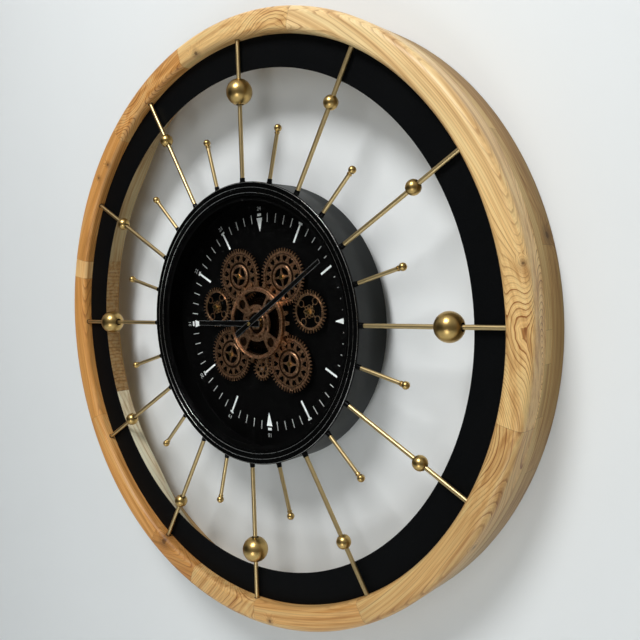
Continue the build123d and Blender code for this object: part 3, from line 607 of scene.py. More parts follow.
def metal_finish(name, colour, rough, tarnish, grit, scale, shade_levels=None, shaded=None):
    """Aged metal: cloudy tarnish and fine grit, with painted shade below a level (grooves, lower faces, sides of
    teeth) and, where given, painted shade inside a radius round the dial's axis.
    """
    finish = Finish(name, {"Metallic": 1.0})
    blotch = finish.noise(scale, 5.0, roughness=0.6)
    fine = finish.noise(1400.0, 3.0)
    worn, bright, dark = (tuple(min(1.0, channel * share) for channel in colour) for share in (tarnish, 1.5, 0.05))
    shade = finish.blend(finish.remap(blotch, 0.36, 0.64), worn, tuple(colour))
    shade = finish.blend(finish.remap(fine, 0.50, 0.75, 0.0, grit), shade, bright)
    # Painted shade: darker below the front face, in the grooves and lower faces and down the sides of the teeth
    if shade_levels:
        level = finish.math("MULTIPLY", finish.add("SeparateXYZ", {0: finish.place}).outputs["Y"], -1.0 / MM)
        shade = finish.blend(finish.remap(level, *shade_levels, 0.95, 0.0), shade, dark)
    # Painted shade: darker inside a radius, where the front wheel shades the toothed disc
    if shaded:
        across = finish.vector("LENGTH", finish.vector("MULTIPLY", finish.place, (1.0 / MM, 0.0, 1.0 / MM)))
        shade = finish.blend(finish.remap(across, *shaded, 0.95, 0.0), shade, dark)
    finish.bump(finish.math("ADD", fine, finish.math("MULTIPLY", blotch, 2.0)), 0.5 * grit, 0.15)
    return finish.paint(shade, finish.remap(blotch, 0.25, 0.75, rough + 0.10 * grit, rough - 0.05))


def glass_finish(name, colour):
    """Clear flat glass that lets the lamps through, with faint dust."""
    finish = Finish(name, {"Transmission Weight": 1.0, "IOR": 1.45, "Base Color": colour})
    dust = finish.noise(260.0, 4.0)
    finish.join(finish.remap(dust, 0.62, 0.85, 0.0, 0.02), finish.shader.inputs["Roughness"])
    return finish.let_through(finish.add("LightPath").outputs["Is Shadow Ray"])


# Paints and mouldings: finish, material, colour, roughness, specks per metre, bump, lift of the specks, specular level
PAINTS = (
    ("panel", "satin black panel", "panel_black", 0.45, 1800.0, 0.04, 0.8, 0.05),
    ("drum", "drum powder coat", "drum_black", 0.45, 2200.0, 0.08, 0.4, 0.28),
    ("bezel", "bezel gloss", "bezel_black", 0.24, 2200.0, 0.0, 0.4, 0.10),
    ("dial", "dial black", "dial_black", 0.60, 2200.0, 0.03, 0.4, 0.03),
    ("print", "dial print", "print_white", 0.55, 1300.0, 0.05, 0.15, 0.5),
    ("ticks", "tick print", "tick_grey", 0.55, 1300.0, 0.05, 0.15, 0.5),
    ("hand", "hand black", "hand_black", 0.50, 1400.0, 0.03, 0.4, 0.03),
    ("hand_edge", "hand edge", "hand_edge", 0.40, 1400.0, 0.03, 0.2, 0.5),
    # Painted shade for the holes round the rods and inside the balls' counterbores
    ("socket", "drilled socket", "drilled", 0.8, 900.0, 0.1, 0.5, 0.5),
    ("case", "moulded case", "case_black", 0.52, 2200.0, 0.12, 0.6, 0.5),
    ("knob", "moulded knob", "knob_grey", 0.45, 2000.0, 0.10, 0.2, 0.5),
    ("cell", "cell jacket", "cell_jacket", 0.30, 700.0, 0.03, 0.2, 0.5),
)
# Metals: finish, material, colour, roughness, share of the colour that tarnish leaves, grit, blotches per metre, and
# where it applies the levels below which painted shade darkens the recesses or the radii inside which painted shade
# darkens inwards
METALS = (
    ("gold", "antique gold", "gold", 0.33, 0.86, 0.06, 95.0),
    # Paler rod gold: painted reflection of white light on the thin rods
    ("rod", "pale gold rod", "rod_gold", 0.41, 0.88, 0.04, 95.0),
    # The levels on copper, shaded copper, bronze and hub paint shade into the gears' grooves and lower faces
    ("copper", "antique copper", "copper", 0.38, 0.22, 0.5, 420.0, (37.9, 38.4)),
    ("shaded", "shaded copper", "shaded_copper", 0.36, 0.35, 0.5, 420.0, (37.9, 38.4)),
    ("bronze", "antique bronze", "bronze", 0.38, 0.22, 0.5, 420.0, (37.7, 38.3)),
    # The toothed disc gets painted shade inside the front wheel's edge
    ("disc", "toothed disc bronze", "bronze", 0.38, 0.22, 0.5, 420.0, None, (41.0, 43.5)),
    ("wheel", "wheel bronze", "wheel_bronze", 0.38, 0.25, 0.5, 420.0),
    ("hub", "bright gear hub", "gear_hub", 0.34, 0.30, 0.4, 420.0, (37.9, 38.4)),
    ("brass", "hub brass", "brass", 0.28, 0.6, 0.2, 95.0),
    # Painted highlights along the bezel's step edges
    ("step_line", "bezel step line", "step_line", 0.30, 0.95, 0.05, 95.0),
    ("steel", "plain steel", "steel", 0.38, 0.75, 0.3, 95.0),
)
VARNISH = {"Coat Weight": 0.25, "Coat Roughness": 0.30, "Specular IOR Level": 0.25}
SANDED = {"Specular IOR Level": 0.2}
FINISHES = {}


def make_finishes(colours):
    """Every finish by its short name."""
    made = {
        "wood": wood_finish(
            "varnished softwood", colours.early_wood, colours.late_wood, colours.knot, KNOTS, VARNISH, 0.48
        ),
        "bare": wood_finish(
            "bare sanded edge", colours.bare_early, colours.bare_late, colours.knot, (), SANDED, 0.62
        ),
        "glass": glass_finish("clear glass", colours.glass),
    }
    for rows, finish in ((PAINTS, paint_finish), (METALS, metal_finish)):
        for key, name, tint, *values in rows:
            made[key] = finish(name, getattr(colours, tint), *values)
    return made


class ClockOperator(bpy.types.Operator):
    """Base of the steps that dress the clock."""

    bl_options = {"REGISTER", "UNDO"}

    @classmethod
    def poll(cls, context):
        return context.scene is not None


class CLOCK_OT_finishes(ClockOperator):
    """Makes every finish of the clock from the colours"""

    bl_idname = "clock.finishes"
    bl_label = "Finishes"

    def execute(self, context):
        FINISHES.update(make_finishes(context.scene.clock_colours))
        return {"FINISHED"}


def board_frame(start, end, turn):
    """Unit vectors along and across a board, in the dial's plane."""
    middle = radians((start + end) / 2)
    along = Vector((cos(middle), 0.0, -sin(middle)))
    out = Vector((sin(middle), 0.0, cos(middle)))
    swing = radians(turn)
    return along * cos(swing) + out * sin(swing), out * cos(swing) - along * sin(swing), out


def lay_boards(name, outline, boards, mean_radius, finish, nodes, relief=None):
    """A glued layer: one curved block per board, each with its own grain; relief moves its corners."""
    shape = Shape()
    values = {"grain": [], "board": [], "edge": [], "lines": []}
    for board in boards:
        start, end, pith_across, pith_level, lean_across, lean_depth, turn = board[:7]
        light, red, density, arc_place, arc_slope, strength = board[7:]
        first = len(shape.corners)
        steps = max(4, round((end - start) / BOARD_STEP))
        shape.spin(outline, start=start, end=end, steps=steps + steps % 2)
        if relief:
            shape.corners[first:] = [relief(corner) for corner in shape.corners[first:]]
        along, across, out = board_frame(start, end, turn)
        centre = out * mean_radius
        follow = BEND if abs(turn) < CROSSWISE else 0.0
        for corner in shape.corners[first:]:
            offset = corner - centre
            run = offset.dot(along)
            side = (1.0 - follow) * offset.dot(across) + follow * (hypot(corner.x, corner.z) - mean_radius)
            side -= pith_across + lean_across * run
            crest = exp(-(((run - arc_place) / ARC_SPAN) ** 2))
            arc = arc_slope * ARC_SPAN * (1.0 - crest)
            depth = -corner.y - pith_level - lean_depth * run + arc
            here = degrees(atan2(corner.x, corner.z))
            off_start = (here - start + 180.0) % 360.0 - 180.0
            off_end = (end - here + 180.0) % 360.0 - 180.0
            values["grain"] += [run + APART * start, side, depth]
            # The lightness carries painted light: raised towards twelve o'clock and lowered towards six
            values["board"] += [light * (1.0 + PAINTED_TOP_LIGHT * cos(radians(here))), red, density]
            values["edge"].append(max(0.0, radians(min(off_start, off_end))) * mean_radius)
            values["lines"].append(strength + 2.0 * arc_slope * crest ** 0.4)
    made = piece(name, shape, FINISHES[finish], "clock_body", nodes, WOOD_CRISP, weld=False)
    for key, numbers in values.items():
        wide = len(numbers) > len(shape.corners)
        layer = made.data.attributes.new(key, "FLOAT_VECTOR" if wide else "FLOAT", "POINT")
        layer.data.foreach_set("vector" if wide else "value", numbers)
    return made


def drawn_boards(joints, light, red):
    """Boards with drawn grain for the layers that only show at the side."""
    draw = random.Random(GRAIN_SEED + len(joints))
    boards = []
    for start, end in zip(joints, list(joints[1:]) + [joints[0] + 360.0]):
        boards.append((
            start, end, draw.uniform(-30, 30), draw.uniform(-30, 50), draw.uniform(-0.04, 0.04),
            draw.uniform(-0.05, 0.05), 0.0, light * draw.uniform(0.92, 1.06), red * draw.uniform(0.6, 1.3),
            draw.uniform(0.30, 0.40), draw.uniform(-80, 80), draw.uniform(0.0, 0.12), draw.uniform(0.4, 0.7),
        ))
    return boards


class CLOCK_OT_ring(ClockOperator):
    """Builds the three glued layers of the wooden ring"""

    bl_idname = "clock.ring"
    bl_label = "Wooden ring"

    def execute(self, context):
        size = millimetres(context.scene.clock_ring)

        def layer(name, boards, inner, low, high, nodes, inner_round=ARRIS, outer_round=ARRIS):
            outline = rounded((
                (inner, low, ARRIS), (inner, high, inner_round),
                (size.outer, high, outer_round), (size.outer, low, ARRIS),
            ), 5)
            return lay_boards(name, outline, boards, (size.outer + size.inner) / 2, "wood", nodes)

        layer("front_blocks", FRONT_BOARDS, size.inner, size.middle_level, size.depth, ("ring_front_layer",),
              size.inner_round, size.outer_round)
        middle_boards = drawn_boards(MIDDLE_JOINTS, 0.84, 0.05)
        layer("middle_blocks", middle_boards, size.inner, size.back_level, size.middle_level, ("ring_middle_layer",))
        *back_boards, hanger_board = drawn_boards(BACK_JOINTS, 0.72, 0.25)
        layer("back_blocks", back_boards, size.back_inner, 0.0, size.back_level, ("ring_back_layer",))
        self.cut_hanger_pocket(layer("hanger_block", [hanger_board], size.inner, 0.0, size.back_level, ()))
        return {"FINISHED"}

    def cut_hanger_pocket(self, made):
        """Cuts the pocket that the hanger plate is let into."""
        margin, floor, mouth = 0.0003, -0.009, 0.001
        low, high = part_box("hanger_plate")
        clear = Vector((margin, 0.0, margin))
        low = Vector(low) - clear
        high = Vector(high) + clear
        pocket = bpy.data.meshes.new("hanger pocket")
        work = bmesh.new()
        bmesh.ops.create_cube(work, size=1.0)
        for vertex in work.verts:
            vertex.co.x = low.x if vertex.co.x < 0 else high.x
            vertex.co.y = floor if vertex.co.y < 0 else mouth
            vertex.co.z = low.z if vertex.co.z < 0 else high.z
        work.to_mesh(pocket)
        work.free()
        cutter = bpy.data.objects.new("hanger pocket", pocket)
        bpy.context.scene.collection.objects.link(cutter)
        step = made.modifiers.new("pocket", "BOOLEAN")
        step.operation = "DIFFERENCE"
        step.solver = "EXACT"
        step.object = cutter
        bpy.context.view_layer.update()
        graph = bpy.context.evaluated_depsgraph_get()
        mesh = bpy.data.meshes.new_from_object(made.evaluated_get(graph))
        made.modifiers.remove(step)
        made.data = mesh
        bpy.data.objects.remove(cutter)


class CLOCK_OT_panel(ClockOperator):
    """Builds the black-faced panel inside the ring"""

    bl_idname = "clock.panel"
    bl_label = "Black panel"

    def execute(self, context):
        size = millimetres(context.scene.clock_ring)
        inner, outer, back, front = size.panel_inner, size.panel_outer, size.panel_back, size.panel_front
        skin = 1.8
        seam = front - skin
        face = Shape()
        face.spin(rounded(((inner, seam, 0), (inner, front, 0.5), (outer, front, 0), (outer, seam, 0))))
        piece("panel_face", face, FINISHES["panel"], "clock_body")
        slope_depth, slope_start, slope_full = 20.0, 40.0, 66.0

        def undercut(corner):
            """Slopes the inner edge back, apart from the square stretches at three and nine o'clock."""
            radius = hypot(corner.x, corner.z)
            if radius > inner + 1.0:
                return corner
            share = (seam + corner.y) / (seam - back)
            rise = degrees(asin(min(1.0, abs(corner.z) / radius)))
            ease = min(1.0, max(0.0, (rise - slope_start) / (slope_full - slope_start)))
            further = slope_depth * share * ease * ease * (3.0 - 2.0 * ease)
            return Vector((corner.x * (1.0 + further / radius), corner.y, corner.z * (1.0 + further / radius)))

        board = rounded(((inner, back, 0.6), (inner, seam, 0), (outer, seam, 0), (outer, back, 0)))
        middle = (inner + outer) / 2
        lay_boards("panel_board", board, PANEL_BOARDS, middle, "bare", ("ring_panel",), undercut)
        return {"FINISHED"}


class CLOCK_OT_rods(ClockOperator):
    """Builds the rods, their ferrules and the dark rings of painted shade where they enter the ring"""

    bl_idname = "clock.rods"
    bl_label = "Rods"

    def execute(self, context):
        size = millimetres(context.scene.clock_rods)
        ring_inner = context.scene.clock_ring.inner / MM
        drum = context.scene.clock_drum.radius / MM
        start = size.root - 2.0
        tip = size.tip_circle - size.tip_ball * 0.4
        proud, sunk = ring_inner - 0.12, ring_inner + 0.2
        long_rods, short_rods, ferrules, sockets = Shape(), Shape(), Shape(), Shape()
        for hour in range(12):
            axis = rod_axis(30.0 * hour, size.level)
            half = rod_axis(30.0 * hour + 15.0, size.level)
            for shape, radius, stop, place in (
                (long_rods, size.long_radius, size.seat, axis), (short_rods, size.short_radius, tip, half),
            ):
                shape.spin(rounded(((0, start, 0), (radius, start, 0.3), (radius, stop, 0.3), (0, stop, 0)), 2),
                           place, steps=SMALL_STEPS, closed=False)
                bore, sleeve = radius + FIT, radius + 0.75
                ferrules.spin(rounded((
                    (bore, drum - 0.8, 0), (sleeve + 0.05, drum - 0.8, 0), (sleeve + 0.05, drum + 1.2, 0.2),
                    (sleeve - 0.25, drum + 1.5, 0.1), (sleeve - 0.25, size.root - 1.0, 0.1),
                    (sleeve - 0.4, size.root, 0.25), (bore, size.root, 0),
                ), 3), place, steps=SMALL_STEPS)
            # A thin dark ring round each long rod where it enters the ring, painted as the shade in its hole
            bore, lip, wide = (size.long_radius + more for more in (FIT, 0.75, 0.9))
            sockets.spin(((bore, proud), (lip, proud), (wide, sunk), (bore, sunk)), axis, steps=SMALL_STEPS)
        piece("gold_long_rods", long_rods, FINISHES["rod"], "clock_body", ("long_rods",))
        piece("gold_short_rods", short_rods, FINISHES["rod"], "clock_body", ("short_rods",))
        piece("black_ferrules", ferrules, FINISHES["bezel"], "clock_body", ("rod_ferrules",))
        piece("rod_sockets", sockets, FINISHES["socket"], "clock_body")
        return {"FINISHED"}


class CLOCK_OT_balls(ClockOperator):
    """Builds the turned balls, the painted shade lining their counterbores and the drops on the short rods"""

    bl_idname = "clock.balls"
    bl_label = "Balls"

    def execute(self, context):
        size = millimetres(context.scene.clock_rods)
        bore = size.long_radius + 0.05
        quarters, hours, tips, wells = Shape(), Shape(), Shape(), Shape()
        for hour in range(12):
            quarter = hour % 3 == 0
            shape, radius = (quarters, size.quarter_ball) if quarter else (hours, size.hour_ball)
            well = size.long_radius + (2.0 if quarter else 1.1)
            sunk = 2.4 if quarter else 1.4
            axis = rod_axis(30.0 * hour, size.level)
            shape.spin(self.ball(radius, bore, well, sunk, size.ball_circle), axis, steps=64 if quarter else 48)
            mouth = (radius * radius - well * well) ** 0.5
            # Thin dark liners in the counterbores at both ends of the hole, painted as the shade inside them
            for side in (-1, 1):
                floor = size.ball_circle + side * (mouth - sunk)
                low, high = floor + side * 0.02, floor + side * 0.1
                lip = size.ball_circle + side * (mouth - 0.25)
                wells.spin(((bore, low), (bore, high), (well - 0.12, high), (well - 0.1, lip), (well - 0.02, lip),
                            (well - 0.02, low)), axis, steps=SMALL_STEPS)
            tips.spin(self.drop(size), rod_axis(30.0 * hour + 15.0, size.level), steps=SMALL_STEPS, closed=False)
        piece("gold_quarter_balls", quarters, FINISHES["gold"], "clock_body", ("quarter_balls",))
        piece("gold_hour_balls", hours, FINISHES["gold"], "clock_body", ("hour_balls",))
        piece("dark_ball_wells", wells, FINISHES["socket"], "clock_body")
        piece("gold_tips", tips, FINISHES["gold"], "clock_body", ("short_rod_tips",))
        return {"FINISHED"}

    def ball(self, radius, bore, well, sunk, middle):
        """Ball with a counterbore round each end of its hole and a fine seam at its waist."""
        limit = degrees(asin(well / radius))
        mouth = radius * cos(radians(limit))
        outline = [(bore, middle - mouth + sunk), (bore, middle + mouth - sunk), (well, middle + mouth - sunk)]
        rings = 36
        for ring in range(rings + 1):
            turn = radians(limit + (180.0 - 2 * limit) * ring / rings)
            dip = 0.06 if ring == rings // 2 else 0.0
            outline.append(((radius - dip) * sin(turn), middle + (radius - dip) * cos(turn)))
        outline.append((well, middle - mouth + sunk))
        return outline

    def drop(self, size):
        """Small drop: a short taper on the rod that swells into a ball."""
        ball, middle = size.tip_ball, size.tip_circle
        rod = size.short_radius
        taper = ((0.05, 1.55), (0.55, 1.45), (0.75, 1.1))
        outline = [(rod + more, middle - ball * share) for more, share in taper]
        steps = 24
        for step in range(3, steps + 1):
            turn = radians(180.0 - 180.0 * step / steps)
            outline.append((ball * sin(turn) if step < steps else 0, middle + ball * cos(turn)))
        return outline


class CLOCK_OT_drum(ClockOperator):
    """Builds the drum, its stepped bezel and the flat glass"""

    bl_idname = "clock.drum"
    bl_label = "Drum and glass"

    def execute(self, context):
        size = millimetres(context.scene.clock_drum)
        radius, lip, back, front = size.radius, size.lip_radius, size.back, size.bezel_front
        under, over = size.glass_back, size.glass_front
        inside = radius - size.wall
        drum = Shape()
        drum.spin(rounded((
            (inside, back, 0.3), (inside, over, 0), (radius - 0.05, over, 0), (radius - 0.05, back + 5.0, 0.3),
            (radius - 0.9, back + 4.6, 0.1), (radius - 0.9, back, 0.3),
        )))
        piece("drum_wall", drum, FINISHES["drum"], "clock_body", ("drum_shell",))
        bezel = Shape()
        bezel.spin(rounded((
            (radius, over, 0), (radius, front - 0.9, 0.35), (radius - 0.9, front - 0.7, 0.1),
            (radius - 1.1, front, 0.4), (radius - 6.2, front, 0.3), (radius - 6.6, front - 0.5, 0.1),
            (radius - 8.4, front - 0.6, 0.25), (radius - 8.7, front - 1.1, 0.1), (lip + 3.4, front - 1.1, 0.1),
            (lip + 3.1, front - 1.5, 0.1), (lip, front - 1.7, 0.3), (lip, over, 0),
        ), 3))
        piece("stepped_bezel", bezel, FINISHES["bezel"], "clock_body", ("bezel",))
        # Painted highlights: pale metal rings on the step edges stand in for the glints on the glossy black bezel
        lines = Shape()
        half = 0.3
        for step, level in ((radius - 6.35, front - 0.12), (lip + 3.3, front - 1.2), (radius - 1.05, front - 0.12)):
            low, high = level - 0.2, level + 0.11
            lines.spin(rounded(((step - half, low, 0), (step - half, high, 0.28), (step + half, high, 0.28),
                                (step + half, low, 0)), 4))
        piece("bezel_step_lines", lines, FINISHES["step_line"], "clock_body")
        border = Shape()
        edge, rim = lip - 5.6, size.rim_radius - 0.1
        border.spin(((edge, under - 0.14), (edge, under - 0.04), (rim, under - 0.04), (rim, under - 0.14)))
        piece("black_glass_border", border, FINISHES["dial"], "clock_body")
        glass = Shape()
        pane = size.glass_radius
        glass.spin(rounded(((0, under, 0), (pane, under, 0.3), (pane, over, 0.3), (0, over, 0)), 2), closed=False)
        piece("flat_glass", glass, FINISHES["glass"], "clock_body", ("glass_lens",), GLASS_CRISP)
        return {"FINISHED"}


class CLOCK_OT_dial(ClockOperator):
    """Builds the black dial pan and its printed marks and numbers"""

    bl_idname = "clock.dial"
    bl_label = "Dial"

    def execute(self, context):
        size = millimetres(context.scene.clock_drum)
        back = size.dial_level - 2.0
        hole = 5.05
        outer = size.rim_radius + 1.5
        pan = Shape()
        pan.spin(rounded((
            (hole, back, 0), (hole, size.dial_level, 0.2), (size.rim_radius, size.dial_level, 0.8),
            (size.rim_radius, size.glass_back, 0.2), (outer, size.glass_back, 0.2), (outer, back, 0.8),
        ), 3))
        piece("dial_pan_black", pan, FINISHES["dial"], "clock_body", ("dial_pan",))
        self.print_marks(size.dial_level)
        return {"FINISHED"}

    def print_marks(self, level):
        """Minute ticks, hour bars with a foot, four triangles and small 24-hour numbers."""
        ink = 0.12
        # The print sits a little anticlockwise of the case
        twist = -1.25
        end, number_circle, number_height = 129.0, 134.6, 6.6
        marks, ticks = Shape(), Shape()

        def bar(inner, outer, width, angle, outer_width=None, shape=marks):
            far = (outer_width or width) / 2
            loop = [(-width / 2, inner), (-far, outer), (far, outer), (width / 2, inner)]
            shape.cut([turned(loop, angle)], level, ink, 0.0)

        for minute in range(60):
            angle = 6.0 * minute + twist
            if minute % 15 == 0:
                bar(108.0, 123.8, 0.6, angle, 9.0)
                bar(126.0, end, 6.0, angle)
            elif minute % 5 == 0:
                bar(104.5, 128.2, 2.4, angle)
                bar(126.8, end, 5.4, angle)
            else:
                bar(118.5, end, 1.0, angle, shape=ticks)
        for hour in range(1, 13):
            angle = 30.0 * hour + twist
            place = wheel_axis(clock_xy(number_circle, angle)) @ Matrix.Translation((0, 0, level + ink / 2))
            ticks.write(str(12 + hour), number_height, ink, place @ Matrix.Rotation(radians(-angle), 4, "Z"))
        piece("dial_print", marks, FINISHES["print"], "clock_body")
        piece("dial_ticks", ticks, FINISHES["ticks"], "clock_body")


class GearTrain:
    """Places and phases of the meshing gears."""

    def __init__(self, size, large_teeth):
        self.size = size
        self.teeth = {"sun": large_teeth}
        self.places = {"sun": (0.0, 0.0)}
        self.phases = {"sun": 0.0}
        for corner, angle in LARGE_GEARS.items():
            self.mesh(corner, "sun", angle, large_teeth)
        for name, mate, direction, teeth in BRANCH_GEARS:
            self.mesh(name, mate, direction, teeth)

    def pitch(self, teeth):
        return self.size.module * teeth / 2

    def mesh(self, name, mate, direction, teeth):
        """Sets a gear beside its mate, with a gap over the mate's tooth nearest the line of centres."""
        mate_teeth = self.teeth[mate]
        step = clock_xy(self.pitch(mate_teeth) + self.pitch(teeth) + self.size.slack, direction)
        self.teeth[name] = teeth
        self.places[name] = (self.places[mate][0] + step[0], self.places[mate][1] + step[1])
        mate_pitch = 360.0 / mate_teeth
        offset = (self.phases[mate] - direction + mate_pitch / 2) % mate_pitch - mate_pitch / 2
        self.phases[name] = direction + 180.0 - offset * mate_teeth / teeth + 180.0 / teeth

    def outline(self, name):
        size, teeth = self.size, self.teeth[name]
        pitch = self.pitch(teeth)
        root, tip = pitch - size.dedendum, pitch + size.addendum
        return toothed(teeth, root, tip, size.root_width, size.tip_width, self.phases[name])


def band(shape, inner, outer, low, high, axis, round_over=0.3, steps=72):
    """A raised ring with rounded top edges."""
    shape.spin(rounded(((inner, low, 0), (inner, high, round_over), (outer, high, round_over), (outer, low, 0)), 3),
               axis, steps=steps)


class CLOCK_OT_gears(ClockOperator):
    """Builds the four large gears, the two medium gears and the pinion"""

    bl_idname = "clock.gears"
    bl_label = "Gears"

    def execute(self, context):
        size = millimetres(context.scene.clock_gears)
        train = GearTrain(size, context.scene.clock_gears.large_teeth)
        for corner in LARGE_GEARS:
            self.large_gear(f"copper_gear_{corner}", train, corner, f"{corner}_gear", f"gear_{corner}")
        for side in ("left", "right"):
            self.medium_gear(train, side)
        self.pinion(train)
        return {"FINISHED"}

    # Half of a heart-shaped cut-out, from its point near the boss to its notch near the rim
    HALF_HEART = ((0, 17.9), (1.9, 20.2), (3.3, 22.6), (3.1, 24.6), (1.9, 25.4), (0.6, 24.8), (0, 23.6))
    HEARTS = 14

    def large_gear(self, name, train, corner, body, node):
        """Toothed plate with hearts cut through it, grooves inside its rim and round a bold boss, and a thin star."""
        size = train.size
        axis = wheel_axis(train.places[corner])
        phase = train.phases[corner]
        front = size.level + size.thickness
        floor = front - 0.75
        lap = 0.2
        low, raised = floor - lap, front - floor + lap
        rim, web_outer, web_inner, eye = 27.0, 26.1, 17.2, 11.1
        heart = list(self.HALF_HEART) + [(-across, up) for across, up in self.HALF_HEART[-2:0:-1]]
        hearts = [turned(heart, phase + 360.0 * index / self.HEARTS) for index in range(self.HEARTS)]
        wheel = Shape()
        wheel.cut([train.outline(corner), circle(eye, 60)] + hearts, size.level, floor - size.level, 0.1, axis)
        wheel.cut([train.outline(corner), circle(rim, 96)], low, raised, 0.2, axis)
        wheel.cut([circle(web_outer, 96), circle(web_inner, 72)] + hearts, low, raised, 0.2, axis)
        wheel.spin(rounded(((11.0, size.level + 0.4, 0), (11.0, front + 1.2, 0.25), (13.5, front + 1.0, 0.35),
                            (14.2, front + 0.2, 0.3), (14.5, low, 0)), 3), axis, steps=72)
        star = []
        waist, reach, steps = 0.7, 11.4, 12
        for quarter in range(4):
            for step in range(steps + 1):
                across = waist * (reach / waist) ** (step / steps)
                star += turned([(across, waist * reach / across)], 90.0 * quarter)
        wheel.cut([turned(star, phase + 45.0), circle(1.6, 24)], size.level, size.thickness + 0.75, 0.2, axis)
        piece(name, wheel, FINISHES["copper"], body, (node,), GEAR_CRISP)

    def medium_gear(self, train, side):
        """Toothed ring on four slender spokes, each with a ringed hole, round a pierced hub."""
        size = train.size
        axis = wheel_axis(train.places[side])
        phase = train.phases[side]
        front = size.level + size.thickness
        rim = train.pitch(train.teeth[side]) - size.dedendum - 2.5
        eye = rim - 3.7
        eye_outer, eye_inner, half_spoke, spoke_start, spoke_end = 4.3, 3.3, 0.8, 7.2, eye - 3.5
        hub_outer, bore, loop_circle, loop_outer, loop_inner = 3.8, 1.6, 5.7, 2.25, 1.4
        thin, lean = 1.4, 37.0
        spoke = [(-half_spoke, spoke_start), (-half_spoke, spoke_end),
                 (half_spoke, spoke_end), (half_spoke, spoke_start)]
        wheel = Shape()
        wheel.cut([train.outline(side), circle(rim, 72)], size.level, size.thickness, 0.22, axis)
        band(wheel, rim - 0.1, rim + 0.8, front - 0.2, front + 0.4, axis, 0.25)
        for index in range(4):
            turn = lean + 90.0 * index
            ringed = [circle(eye_outer, 36, clock_xy(eye, turn)), circle(eye_inner, 32, clock_xy(eye, turn))]
            for loops in ([turned(spoke, turn)], ringed):
                wheel.cut(loops, front - thin, thin, 0.2, axis)
        body = f"{side}_gear"
        piece(f"bronze_gear_{side}", wheel, FINISHES["bronze"], body, (f"gear_{side}",), GEAR_CRISP)
        hub = Shape()
        hub.cut([circle(hub_outer, 40), circle(bore, 24)], size.level, size.thickness + 0.3, 0.2, axis)
        for index in range(8):
            middle = clock_xy(loop_circle, phase + 45.0 * index)
            loops = [circle(loop_outer, 24, middle), circle(loop_inner, 20, middle)]
            hub.cut(loops, front - thin, thin + 0.2, 0.15, axis)
        piece(f"brass_hub_{side}", hub, FINISHES["hub"], body, (), GEAR_CRISP)

    def pinion(self, train):
        """Small toothed ring round a thin web with six holes."""
        size = train.size
        axis = wheel_axis(train.places["pinion"])
        front = size.level + size.thickness
        phase = train.phases["pinion"]
        rim, web, bore, hole, hole_circle = 8.7, 1.2, 1.02, 2.25, 6.0
        holes = [circle(hole, 24, clock_xy(hole_circle, phase + 60.0 * index)) for index in range(6)]
        wheel = Shape()
        wheel.cut([train.outline("pinion"), circle(rim, 48)], size.level, size.thickness, 0.2, axis)
        wheel.cut([circle(rim + 0.1, 48), circle(bore, 20)] + holes, front - web, web, 0.2, axis)
        band(wheel, rim - 0.1, rim + 0.9, front - 0.2, front + 0.4, axis, 0.25, 48)
        band(wheel, 1.4, 3.6, front - 0.2, front + 0.9, axis, 0.4, 32)
        piece("bronze_pinion", wheel, FINISHES["bronze"], "motor_pinion", ("drive_pinion",), GEAR_CRISP)


